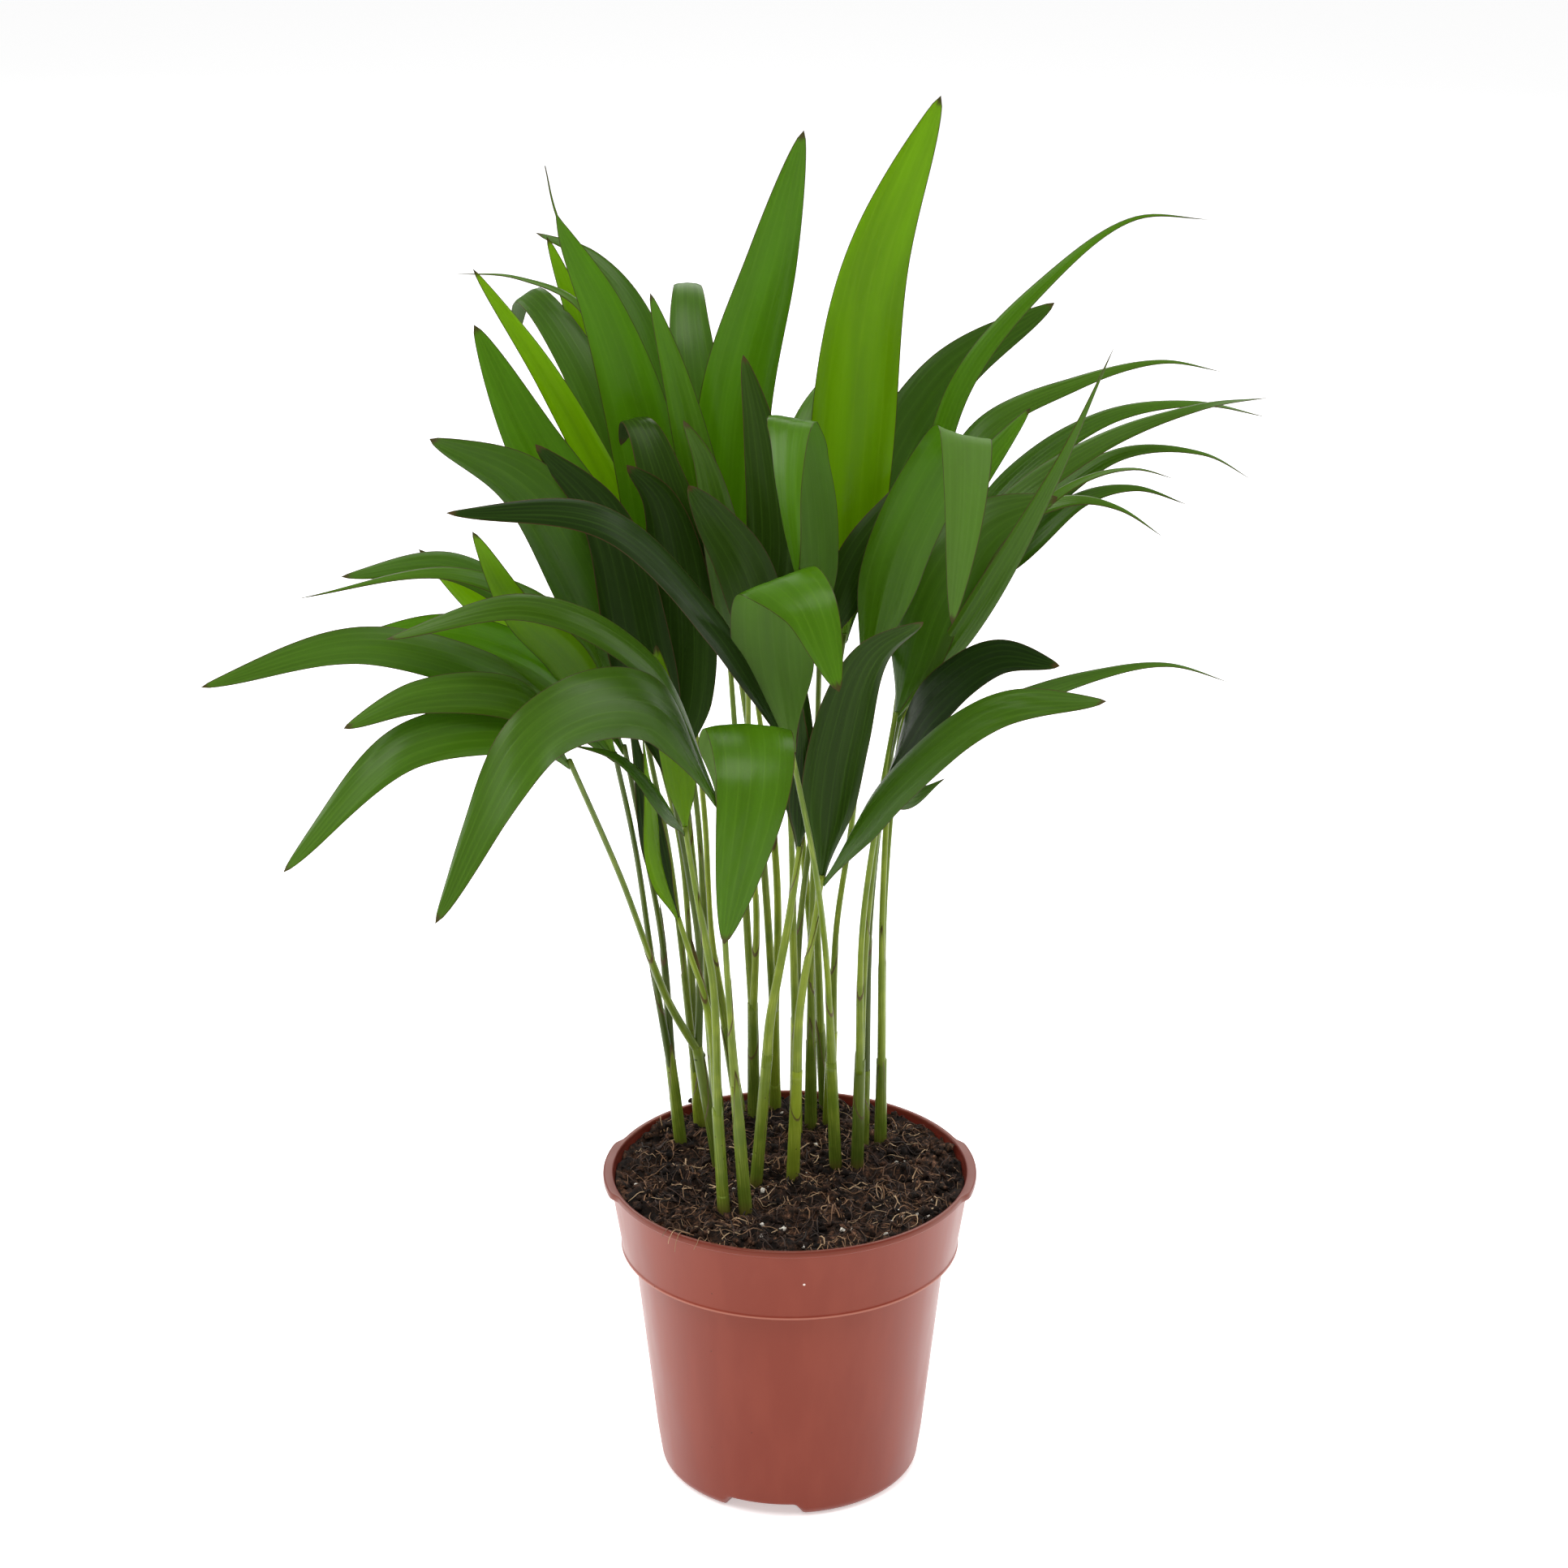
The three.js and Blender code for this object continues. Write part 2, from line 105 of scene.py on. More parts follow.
# Camera: a little above the plant, looking down on it from the front.
camera = {"at": (0, -1.0743, 0.6398), "tilt": 69.49, "turn": 0.10, "lens": 84.37, "sensor": 36}
cameraData = bpy.data.cameras.new("camera")
cameraData.lens = camera["lens"]
cameraData.sensor_width = camera["sensor"]
cameraObject = bpy.data.objects.new("camera", cameraData)
cameraObject.location = camera["at"]
cameraObject.rotation_euler = (math.radians(camera["tilt"]), 0, math.radians(camera["turn"]))
scene.collection.objects.link(cameraObject)
scene.camera = cameraObject

# Light: an even white room, with wide soft boxes above, behind and at each side.
light = {
    "room": 0.52,
    "boxes": [
        {"name": "topBox", "at": (-0.3, -0.7, 1.8), "aim": (0, 0, 0.2), "side": 1.2, "watts": 22},
        {"name": "backBox", "at": (0.1, 1.3, 1.5), "aim": (0, 0, 0.3), "side": 1.5, "watts": 20},
        {"name": "leftBox", "at": (-1.4, 0.5, 0.7), "aim": (0, 0, 0.25), "side": 1.1, "watts": 13},
        {"name": "rightBox", "at": (1.4, 0.6, 0.7), "aim": (0, 0, 0.25), "side": 1.1, "watts": 13},
    ],
}
scene.world = bpy.data.worlds.new("whiteRoom")
scene.world.use_nodes = True
scene.world.node_tree.nodes["Background"].inputs["Color"].default_value = (1, 1, 1, 1)
scene.world.node_tree.nodes["Background"].inputs["Strength"].default_value = light["room"]
for box in light["boxes"]:
    lamp = bpy.data.lights.new(box["name"], "AREA")
    lamp.size = box["side"]
    lamp.energy = box["watts"]
    lampObject = bpy.data.objects.new(box["name"], lamp)
    lampObject.location = box["at"]
    aim = Vector(box["aim"]) - Vector(box["at"])
    lampObject.rotation_euler = aim.to_track_quat("-Z", "Y").to_euler()
    scene.collection.objects.link(lampObject)
scene.view_settings.view_transform = "Standard"
print("camera and light ready")


def keep(bm, name, materials, slot, standsFor=(), smooth=True):
    mesh = bpy.data.meshes.new(name)
    for material in materials:
        mesh.materials.append(material)
    if smooth:
        for face in bm.faces:
            face.smooth = True
    bm.to_mesh(mesh)
    bm.free()
    piece = bpy.data.objects.new(name, mesh)
    scene.collection.objects.link(piece)
    if slot is None:
        return piece
    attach(piece, "root")
    if standsFor:
        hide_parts(*standsFor)
    return piece


# Studio floor: matt white card.
floor = {"side": 40.0, "colour": "#f6f6f6", "roughness": 0.9, "glow": 0.45}
floorCard, tree = blankMaterial("matt white card")
card = node(tree, "BsdfPrincipled", {"Base Color": linear(floor["colour"]), "Roughness": floor["roughness"]})
card.inputs["Emission Color"].default_value = (1, 1, 1, 1)
card.inputs["Emission Strength"].default_value = floor["glow"]
finished(tree, card.outputs[0])
bm = bmesh.new()
bmesh.ops.create_grid(bm, x_segments=4, y_segments=4, size=floor["side"] / 2)
keep(bm, "studioFloor", [floorCard], None)


def midline(points, cuts=16):
    # A smooth line through the points; returns its length and a function of the share along it.
    ends = [2 * points[0] - points[1], *points, 2 * points[-1] - points[-2]]
    spots = []
    for a, b, c, d in zip(ends, ends[1:], ends[2:], ends[3:]):
        da, db, dc = (math.sqrt((q - p).length) for p, q in ((a, b), (b, c), (c, d)))
        leave = ((b - a) / da - (c - a) / (da + db) + (c - b) / db) * db
        arrive = ((c - b) / db - (d - b) / (db + dc) + (d - c) / dc) * db
        for k in range(cuts):
            s = k / cuts
            spots.append(
                b * (2 * s**3 - 3 * s**2 + 1)
                + leave * (s**3 - 2 * s**2 + s)
                + c * (3 * s**2 - 2 * s**3)
                + arrive * (s**3 - s**2)
            )
    spots.append(points[-1])
    last = len(spots) - 1
    reach = [0.0]
    for p, q in zip(spots, spots[1:]):
        reach.append(reach[-1] + (q - p).length)
    ways = [(spots[min(k + 1, last)] - spots[max(k - 1, 0)]).normalized() for k in range(last + 1)]

    def at(share):
        want = min(max(share, 0.0), 1.0) * reach[-1]
        k = 0
        while k < last - 1 and reach[k + 1] < want:
            k += 1
        part = (want - reach[k]) / (reach[k + 1] - reach[k])
        return spots[k].lerp(spots[k + 1], part), ways[k].lerp(ways[k + 1], part).normalized()

    return reach[-1], at


def layers(bm):
    verts = bm.verts.layers
    for name in ("tone", "glow"):
        if name not in verts.float:
            verts.float.new(name)
    for name in ("place", "rims"):
        if name not in verts.float_vector:
            verts.float_vector.new(name)
    return verts.float["tone"], verts.float["glow"], verts.float_vector["place"], verts.float_vector["rims"]


stemForms = {}


def stemForm(sides, cuts):
    # An upright closed cylinder of one metre, cut across evenly, kept for every stem with that many sides.
    if (sides, cuts) not in stemForms:
        bm = bmesh.new()
        layers(bm)
        bmesh.ops.create_cone(bm, cap_ends=True, segments=sides, radius1=1, radius2=1, depth=1)
        long = [e for e in bm.edges if abs(e.verts[0].co.z - e.verts[1].co.z) > 0.5]
        bmesh.ops.subdivide_edges(bm, edges=long, cuts=cuts)
        form = bpy.data.meshes.new("stemForm")
        bm.to_mesh(form)
        bm.free()
        stemForms[(sides, cuts)] = form
    return stemForms[(sides, cuts)]


def tube(bm, points, radiusAt, sides, cuts, tone, material=0, shift=None):
    # A closed round stem along a line. shift moves a vertex along the line, in metres, for slanted ends.
    toneLayer, glowLayer, placeLayer, rimsLayer = layers(bm)
    length, at = midline(points)
    firstVert, firstFace = len(bm.verts), len(bm.faces)
    bm.from_mesh(stemForm(sides, cuts))
    bm.verts.ensure_lookup_table()
    bm.faces.ensure_lookup_table()
    side = Vector((1, 0.2, 0))
    frames = {}
    for vert in bm.verts[firstVert:]:
        x, y, share = vert.co.x, vert.co.y, round(vert.co.z + 0.5, 5)
        if share not in frames:
            spot, along = at(share)
            across = (side - along * along.dot(side)).normalized()
            frames[share] = (spot, along, across, along.cross(across), radiusAt(share, share * length))
        spot, along, across, over, radius = frames[share]
        extra = shift(share, x, y) if shift else 0.0
        vert.co = spot + (across * x + over * y) * radius + along * extra
        vert[toneLayer] = tone
        vert[placeLayer] = (math.atan2(y, x) * radius, share * length, radius)
        vert[rimsLayer] = (1.0, (1 - share) * length, 1.0 if shift else 0.0)
    for face in bm.faces[firstFace:]:
        face.material_index = material


# Pot: injection-moulded polypropylene, thin walled, with a wide collar and a rolled lip.
pot = {
    "height": 105, "rimRadius": 59, "lipHeight": 2.2, "collarTop": 58.3, "collarFoot": 54.8, "collarHeight": 26,
    "bodyTop": 51, "bodyFoot": 42.4, "footRadius": 39.9, "wall": 1.3, "recess": 3.9, "footWidth": 3.6,
    "gapCount": 3, "gapSpread": 33, "gapCentre": -102.5, "gapHeight": 5.0, "gapSoft": 6,
    "gripReach": 1.6, "gripSpread": 39, "gripSoft": 5,
    "drainCount": 6, "drainRadius": 2.7, "drainRing": 22, "steps": 240,
}  # fmt: skip


def roundedLine(corners, cuts=4):
    # Corners are radius, height and rounding, in millimetres.
    line = []
    for k, (x, z, rounding) in enumerate(corners):
        here = Vector((x, 0, z))
        if not rounding or k in (0, len(corners) - 1):
            line.append(here)
            continue
        before = Vector((corners[k - 1][0], 0, corners[k - 1][1])) - here
        after = Vector((corners[k + 1][0], 0, corners[k + 1][1])) - here
        start = here + before.normalized() * min(rounding, before.length * 0.49)
        stop = here + after.normalized() * min(rounding, after.length * 0.49)
        for c in range(cuts + 1):
            s = c / cuts
            line.append(start * (1 - s) ** 2 + here * (2 * s * (1 - s)) + stop * s**2)
    return line


def turned(line, steps):
    # Turns a line of points, in millimetres, round the Z axis into a closed shell.
    bm = bmesh.new()
    verts = [bm.verts.new(p * mm) for p in line]
    edges = [bm.edges.new(pair) for pair in zip(verts, verts[1:])]
    turn = {"cent": (0, 0, 0), "axis": (0, 0, 1), "angle": 2 * math.pi, "steps": steps, "use_merge": True}
    bmesh.ops.spin(bm, geom=verts + edges, **turn)
    bmesh.ops.remove_doubles(bm, verts=bm.verts, dist=0.01 * mm)
    bmesh.ops.recalc_face_normals(bm, faces=bm.faces)
    return bm


def window(angle, centre, spread, soft):
    away = abs((angle - centre + 180) % 360 - 180)
    return 1 - smoothstep(spread / 2 - soft / 2, spread / 2 + soft / 2, away)


def makePot():
    p = pot
    ledge = p["height"] - p["collarHeight"]
    neck = p["height"] - p["lipHeight"]
    inner = p["footRadius"] - p["footWidth"]
    corners = [
        (0, p["recess"], 0), (inner, p["recess"], 0.3), (inner + 0.5, 0, 0.6), (p["footRadius"] - 0.2, 0, 0.7),
        (p["bodyFoot"] - 0.1, 1.9, 1.6), (p["bodyFoot"] + 0.4, 5, 2), (p["bodyFoot"] + 1.6, ledge * 0.17, 0),
        (p["bodyTop"], ledge, 0.5), (p["collarFoot"] + 0.25, ledge, 0.35), (p["collarFoot"] + 0.3, ledge + 0.9, 0.3),
        (p["collarFoot"], ledge + 1.3, 0.3), (p["collarTop"], neck, 0.35), (p["rimRadius"], neck + 0.2, 0.35),
        (p["rimRadius"], p["height"], 0.7), (p["collarTop"] - p["wall"] + 0.4, p["height"], 0.7),
        (p["collarTop"] - p["wall"], neck, 0), (p["collarFoot"] - p["wall"], ledge + p["wall"], 1),
        (p["bodyTop"] - p["wall"], ledge + p["wall"], 1), (p["bodyFoot"] - p["wall"], p["recess"] + p["wall"] + 2, 1),
        (p["bodyFoot"] - p["wall"] - 2, p["recess"] + p["wall"], 1), (0, p["recess"] + p["wall"], 0),
    ]  # fmt: skip
    bm = turned(roundedLine(corners), p["steps"])
    for vert in bm.verts:
        angle = math.degrees(math.atan2(vert.co.y, vert.co.x))
        radius = math.hypot(vert.co.x, vert.co.y)
        top = p["gapHeight"] * mm
        if vert.co.z < top and radius > (inner - 1.5) * mm:
            centres = [p["gapCentre"] + 360 / p["gapCount"] * k for k in range(p["gapCount"])]
            share = max(window(angle, c, p["gapSpread"], p["gapSoft"]) for c in centres)
            vert.co.z += (top - vert.co.z) * share
        if vert.co.z > neck * mm and radius > (p["rimRadius"] - 0.9) * mm:
            share = max(window(angle, c, p["gripSpread"], p["gripSoft"]) for c in (0, 180))
            vert.co.xy *= 1 + share * p["gripReach"] * mm / radius
    piece = keep(bm, "nurseryPot", [polypropylene], "pot_plastic", ["pot"])
    cutter = bmesh.new()
    for k in range(p["drainCount"]):
        turn = 2 * math.pi * k / p["drainCount"]
        place = Matrix.Translation(Vector((math.cos(turn), math.sin(turn), 0)) * p["drainRing"] * mm)
        size = p["drainRadius"] * mm
        bmesh.ops.create_cone(
            cutter, cap_ends=True, segments=24, radius1=size, radius2=size, depth=20 * mm, matrix=place
        )
    mesh = bpy.data.meshes.new("drainCutter")
    cutter.to_mesh(mesh)
    cutter.free()
    cutterObject = bpy.data.objects.new("drainCutter", mesh)
    holes = piece.modifiers.new("drainHoles", "BOOLEAN")
    holes.object = cutterObject
    scene.collection.objects.link(cutterObject)
    shown = piece.evaluated_get(bpy.context.evaluated_depsgraph_get())
    drilled = bpy.data.meshes.new_from_object(shown)
    piece.modifiers.clear()
    piece.data = drilled
    drilled.set_sharp_from_angle(angle=math.radians(40))
    bpy.data.objects.remove(cutterObject)


# Polypropylene, injection moulded: satin, terracotta coloured, with faint flow marks and a few specks.
plastic = {
    # edge is a painted highlight along the collar's lower edge; lip is painted shade on the lip's top.
    "colour": "#782d22", "flow": "#7d3226", "edge": "#b0705f", "lip": "#64241a", "speck": "#4c2018",
    "roughness": 0.33, "flowMm": 9, "speckMm": 6, "fleck": (4.5, -56.4, 92.5),
}  # fmt: skip
polypropylene, tree = blankMaterial("moulded polypropylene")
spot = node(tree, "TexCoord").outputs["Object"]
long = node(tree, "Mapping", {"Vector": spot, "Scale": (1, 1, 0.25)}).outputs[0]
flow = node(tree, "TexNoise", {"Vector": long, "Scale": 1 / (plastic["flowMm"] * mm), "Detail": 3}).outputs["Fac"]
flowShare = between(tree, flow, 0.35, 0.7)
colour = blended(tree, flowShare, linear(plastic["colour"]), linear(plastic["flow"]))
height = node(tree, "SeparateXYZ", {0: spot}).outputs["Z"]
# Painted highlight: the collar's lower edge is a little paler.
fromEdge = math2(tree, "ABSOLUTE", math2(tree, "SUBTRACT", height, (pot["height"] - pot["collarHeight"] + 0.5) * mm))
colour = blended(tree, between(tree, fromEdge, 0.1 * mm, 0.5 * mm, 0.6, 0.0), colour, linear(plastic["edge"]))
# Painted shade: the lip's top is darker.
lipShadeShare = between(tree, height, (pot["height"] - 2.4) * mm, (pot["height"] - 0.8) * mm, 0.0, 0.85)
colour = blended(tree, lipShadeShare, colour, linear(plastic["lip"]))
# One pale fleck on the front of the collar.
fromFleck = node(tree, "VectorMath", {0: spot, 1: tuple(v * mm for v in plastic["fleck"])}, operation="DISTANCE")
fleck = between(tree, fromFleck.outputs["Value"], 0.3 * mm, 0.5 * mm, 1.0, 0.0)
colour = blended(tree, fleck, colour, linear("#e0d0c8"))
dots = node(tree, "TexVoronoi", {"Vector": spot, "Scale": 1 / (plastic["speckMm"] * mm)})
speck = between(tree, dots.outputs["Distance"], 0.03, 0.05, 1.0, 0.0)
rare = math2(tree, "GREATER_THAN", node(tree, "SeparateColor", {0: dots.outputs["Color"]}).outputs[0], 0.8)
colour = blended(tree, math2(tree, "MULTIPLY", speck, rare), colour, linear(plastic["speck"]))
fine = node(tree, "TexNoise", {"Vector": spot, "Scale": 1 / (0.5 * mm), "Detail": 2}).outputs["Fac"]
skin = node(tree, "Bump", {"Height": fine, "Strength": 0.06, "Distance": 0.05 * mm}).outputs[0]
rough = between(tree, flow, 0.2, 0.8, plastic["roughness"] - 0.04, plastic["roughness"] + 0.06)
surface = node(tree, "BsdfPrincipled", {"Base Color": colour, "Roughness": rough, "Normal": skin, "IOR": 1.49})
surface.inputs["Specular Tint"].default_value = linear("#e6c8b0")
finished(tree, surface.outputs[0])
makePot()
print("pot made")

# Potting soil: peat and coir, crumbly and dark, with fibres, fine roots and perlite.
soil = {
    "level": 101.6, "slope": 0.032, "topRadius": 56.6, "rings": 70, "steps": 200,
    "crumbs": 1700, "fibres": 1500, "perlite": 38, "clear": 3.0,
    "clodMm": 2.4, "matMm": 11, "gritMm": 0.5,
}  # fmt: skip
shoots = [
    ((-36, 22), 32), ((-30, 35), 24), ((-23, 5), 44), ((-24, 42), 38), ((-17, 46), 30), ((-21, -24), 36),
    ((-14, -24), 46), ((-12, 40), 42), ((-11, -5), 48), ((-5, 47), 36), ((1, -2), 40), ((2, 28), 44),
    ((7, 34), 34), ((13, 37), 36), ((15, 7), 42), ((12, 47), 30), ((22, 7), 38), ((24, 21), 28), ((30, 24), 30),
]  # fmt: skip


def soilHeight(x, y):
    mounds = 0.7 * math.sin(0.19 * x + 0.8) * math.cos(0.23 * y) + 0.5 * math.sin(0.41 * x - 0.33 * y)
    return soil["level"] + soil["slope"] * y + mounds


def crumbly(x, y):
    # The soil's real surface, in millimetres: lumps of a few millimetres on the low mounds.
    spot = Vector((x, y, 0))
    lumps = 2.4 * noise.fractal(spot * 0.17, 0.6, 2.1, 6) + 0.9 * noise.noise(spot * 0.8)
    shade = sum(0.5 * max(0, 1 - math.dist((x, y), at) / 6) for at, _ in shoots)
    return soilHeight(x, y) + lumps + shade


peat, tree = blankMaterial("peat and coir potting soil")
spot = node(tree, "TexCoord").outputs["Object"]
clods = {"Vector": spot, "Scale": 1 / (soil["clodMm"] * mm), "Detail": 6, "Roughness": 0.7}
coarse = node(tree, "TexNoise", clods).outputs["Fac"]
colour = ramp(tree, coarse, [(0.36, "#090504"), (0.5, "#24170f"), (0.6, "#4a3224"), (0.72, "#83604a")])
mats = node(tree, "TexNoise", {"Vector": spot, "Scale": 1 / (soil["matMm"] * mm), "Detail": 3}).outputs["Fac"]
shade = between(tree, mats, 0.4, 0.6, 0.4, 1.6)
colour = node(tree, "VectorMath", {0: colour, "Scale": shade}, operation="SCALE").outputs[0]
grit = node(tree, "TexNoise", {"Vector": spot, "Scale": 1 / (soil["gritMm"] * mm), "Detail": 4}).outputs["Fac"]
colour = blended(tree, between(tree, grit, 0.45, 0.75), colour, linear("#120b08"))
rise = node(tree, "Bump", {"Height": grit, "Strength": 0.7, "Distance": 0.4 * mm}).outputs[0]
surface = node(tree, "BsdfPrincipled", {"Base Color": colour, "Roughness": 0.92, "Normal": rise})
surface.inputs["Specular IOR Level"].default_value = 0.2
finished(tree, surface.outputs[0])

coir, tree = blankMaterial("coir fibre")
tone = node(tree, "Attribute", attribute_name="tone").outputs["Fac"]
colour = ramp(tree, tone, [(0.0, "#20140d"), (0.45, "#4c3223"), (0.8, "#8c6748"), (1.0, "#c9ab86")])
surface = node(tree, "BsdfPrincipled", {"Base Color": colour, "Roughness": 0.75})
finished(tree, surface.outputs[0])

perliteWhite, tree = blankMaterial("expanded perlite")
spot = node(tree, "TexCoord").outputs["Object"]
pores = node(tree, "TexNoise", {"Vector": spot, "Scale": 1 / (0.6 * mm), "Detail": 3}).outputs["Fac"]
colour = ramp(tree, pores, [(0.35, "#a39a8c"), (0.6, "#e2ddd2")])
rise = node(tree, "Bump", {"Height": pores, "Strength": 0.6, "Distance": 0.3 * mm}).outputs[0]
surface = node(tree, "BsdfPrincipled", {"Base Color": colour, "Roughness": 0.85, "Normal": rise})
finished(tree, surface.outputs[0])


def scattered(rng, spread):
    # A place on the soil, clear of the shoots, in millimetres.
    while True:
        turn, out = rng.uniform(0, 2 * math.pi), spread * math.sqrt(rng.random())
        x, y = out * math.cos(turn), out * math.sin(turn)
        if all(math.dist((x, y), at) > soil["clear"] for at, _ in shoots):
            return x, y


def lump(bm, rng, at, size, detail):
    verts = bmesh.ops.create_icosphere(bm, subdivisions=detail, radius=1)["verts"]
    angle = rng.uniform(0, 6.28)
    turn = Matrix.Rotation(angle, 3, Vector((rng.uniform(-1, 1), rng.uniform(-1, 1), 0.3)).normalized())
    squeeze = Vector((rng.uniform(0.6, 1.2), rng.uniform(0.6, 1.2), rng.uniform(0.45, 0.9)))
    offset = Vector((rng.uniform(0, 50), rng.uniform(0, 50), 0))
    for vert in verts:
        swell = 1 + 0.75 * noise.noise(vert.co * 1.9 + offset)
        shaped = Vector(c * s for c, s in zip(vert.co, squeeze)) * swell * size * mm
        vert.co = turn @ shaped + Vector(at) * mm


def makeSoil():
    floor = pot["recess"] + pot["wall"] + 0.3
    ledge = pot["height"] - pot["collarHeight"] + pot["wall"] + 0.3
    line = [
        (0, floor), (pot["bodyFoot"] - pot["wall"] - 2.3, floor), (pot["bodyFoot"] - pot["wall"] - 0.3, floor + 2),
        (pot["bodyTop"] - pot["wall"] - 0.3, ledge), (pot["collarFoot"] - pot["wall"] - 0.3, ledge),
        (soil["topRadius"] - 0.4, soil["level"] - 4), (soil["topRadius"], soil["level"]),
    ]  # fmt: skip
    line += [(soil["topRadius"] * (1 - (k + 1) / soil["rings"]), soil["level"]) for k in range(soil["rings"])]
    bm = turned([Vector((x, 0, z)) for x, z in line], soil["steps"])
    for vert in bm.verts:
        if vert.co.z > (soil["level"] - 1) * mm:
            vert.co.z = crumbly(vert.co.x / mm, vert.co.y / mm) * mm
    keep(bm, "pottingSoil", [peat], "potting_soil", ["soil"])

    rng = random.Random(11)
    bm = bmesh.new()
    for _ in range(soil["crumbs"]):
        x, y = scattered(rng, soil["topRadius"] - 1)
        size = 0.4 + 1.3 * rng.random() ** 2.4
        lump(bm, rng, (x, y, crumbly(x, y) + size * 0.25), size, 2 if size > 1 else 1)
    heap = ((-31, 46.5, 2.2, 2.2), (-33, 45.5, 4.2, 1.3), (-29, 48, 3.6, 1.1), (-30.5, 47, 5.4, 0.9))
    for x, y, rise, size in heap:
        lump(bm, rng, (x, y, crumbly(x, y) + rise), size, 2)
    keep(bm, "soilCrumbs", [peat], "potting_soil")

    bm = bmesh.new()
    for _ in range(soil["perlite"]):
        x, y = scattered(rng, soil["topRadius"] - 2)
        size = rng.uniform(0.45, 1.15)
        lump(bm, rng, (x, y, crumbly(x, y) + size * 0.5), size, 2)
    keep(bm, "perliteGrains", [perliteWhite], "potting_soil")

    bm = bmesh.new()
    for _ in range(soil["fibres"]):
        x, y = scattered(rng, soil["topRadius"] - 3)
        if noise.noise(Vector((x / 13, y / 13, 3))) < rng.uniform(-0.5, 0.2):
            continue
        heading, bendiness = rng.uniform(0, 6.28), rng.uniform(-0.5, 0.5)
        step, lift = rng.uniform(1.2, 2.6), rng.uniform(0.2, 1.4)
        points = []
        for k in range(7):
            if math.hypot(x, y) > soil["topRadius"] - 1:
                break
            height = crumbly(x, y) + 0.15 + lift * math.sin(math.pi * k / 6) * rng.uniform(0.6, 1.2)
            points.append(Vector((x, y, height)) * mm)
            heading += bendiness + rng.uniform(-0.5, 0.5)
            x, y = x + step * math.cos(heading), y + step * math.sin(heading)
        if len(points) > 3:
            thick = rng.choice((0.11, 0.14, 0.18, 0.26)) * mm
            tube(bm, points, lambda share, reach: thick * (1.1 - 0.6 * share), 4, 9, rng.random() ** 1.3)
    # Fine roots that cross the lip at the front left.
    for turn, drop, tone in ((-126, 5, 0.8), (-128.5, 3, 0.9), (-119, 2, 0.75), (-131, 1.5, 0.6)):
        way = Vector((math.cos(math.radians(turn)), math.sin(math.radians(turn)), 0))
        skew = way.cross(Vector((0, 0, 1)))
        points = [
            way * 50 + Vector((0, 0, crumbly(*(way * 50).xy) + 0.4)),
            way * 54 + skew * 1.5 + Vector((0, 0, 103.4)),
            way * 57.5 + skew * 0.5 + Vector((0, 0, 105.3)),
            way * 60.2 - skew * 0.4 + Vector((0, 0, 105.0)),
            way * 60.4 + skew * 0.3 + Vector((0, 0, 104.6 - drop * 0.5)),
            way * 59.9 + skew * 1.0 + Vector((0, 0, 104.4 - drop)),
        ]
        tube(bm, [q * mm for q in points], lambda share, reach: 0.16 * mm * (1.1 - 0.5 * share), 5, 16, tone)
    keep(bm, "coirFibres", [coir], "potting_soil")


makeSoil()
print("soil made")

# Stalks and shoots: living palm stems, smooth and fleshy, with fine grooves and small brown specks.
stalkLook = {
    "low": "#687a22", "middle": "#7a8a24", "high": "#5f761e", "streak": "#b0bb58", "patch": "#4c6416",
    "shaded": "#233510", "sunlit": "#a2b02c", "mouth": "#4e3520", "foot": "#5a4a24", "speck": "#43301a",
    "through": "#a9c634", "throughShare": 0.09, "sheen": "#e6ecc4", "roughness": 0.3,
}  # fmt: skip
stalkGreen, tree = blankMaterial("palm stalk skin")
spot = node(tree, "TexCoord").outputs["Object"]
height = node(tree, "SeparateXYZ", {0: spot}).outputs["Z"]
tone = node(tree, "Attribute", attribute_name="tone").outputs["Fac"]
place = node(tree, "Attribute", attribute_name="place").outputs["Vector"]
rims = node(tree, "SeparateXYZ", {0: node(tree, "Attribute", attribute_name="rims").outputs["Vector"]})
# Painted shade: the stalk colour turns darker high up, where the leaves shade the stalks.
rising = between(tree, height, 0.1, 0.25)
colour = ramp(tree, rising, [(0.0, stalkLook["low"]), (0.45, stalkLook["middle"]), (1.0, stalkLook["high"])])
fibres = node(tree, "Mapping", {"Vector": place, "Scale": (1, 0.03, 0)}).outputs[0]
grooves = node(tree, "TexNoise", {"Vector": fibres, "Scale": 1 / (0.45 * mm), "Detail": 2}).outputs["Fac"]
colour = blended(tree, between(tree, grooves, 0.45, 0.75, 0, 0.55), colour, linear(stalkLook["streak"]))
patches = node(tree, "TexNoise", {"Vector": spot, "Scale": 1 / (9 * mm), "Detail": 2}).outputs["Fac"]
colour = blended(tree, between(tree, patches, 0.35, 0.65, 0, 0.5), colour, linear(stalkLook["patch"]))
colour = blended(tree, between(tree, tone, 0.0, 1.0, 0.9, 0.0), colour, linear(stalkLook["shaded"]))
colour = blended(tree, between(tree, tone, 1.0, 2.0, 0.0, 0.9), colour, linear(stalkLook["sunlit"]))
dots = node(tree, "TexVoronoi", {"Vector": spot, "Scale": 1 / (2.6 * mm)})
speck = between(tree, dots.outputs["Distance"], 0.07, 0.13, 1.0, 0.0)
some = math2(tree, "GREATER_THAN", node(tree, "SeparateColor", {0: dots.outputs["Color"]}).outputs[0], 0.6)
lowOnly = between(tree, height, 0.13, 0.17, 0.85, 0.15)
speck = math2(tree, "MULTIPLY", math2(tree, "MULTIPLY", speck, some), lowOnly)
colour = blended(tree, speck, colour, linear(stalkLook["speck"]))
mouth = between(tree, rims.outputs["Y"], 0.5 * mm, 1.8 * mm, 0.9, 0.0)
mouth = math2(tree, "MULTIPLY", mouth, rims.outputs["Z"])
colour = blended(tree, mouth, colour, linear(stalkLook["mouth"]))
foot = between(tree, height, 0.101, 0.107, 0.75, 0.0)
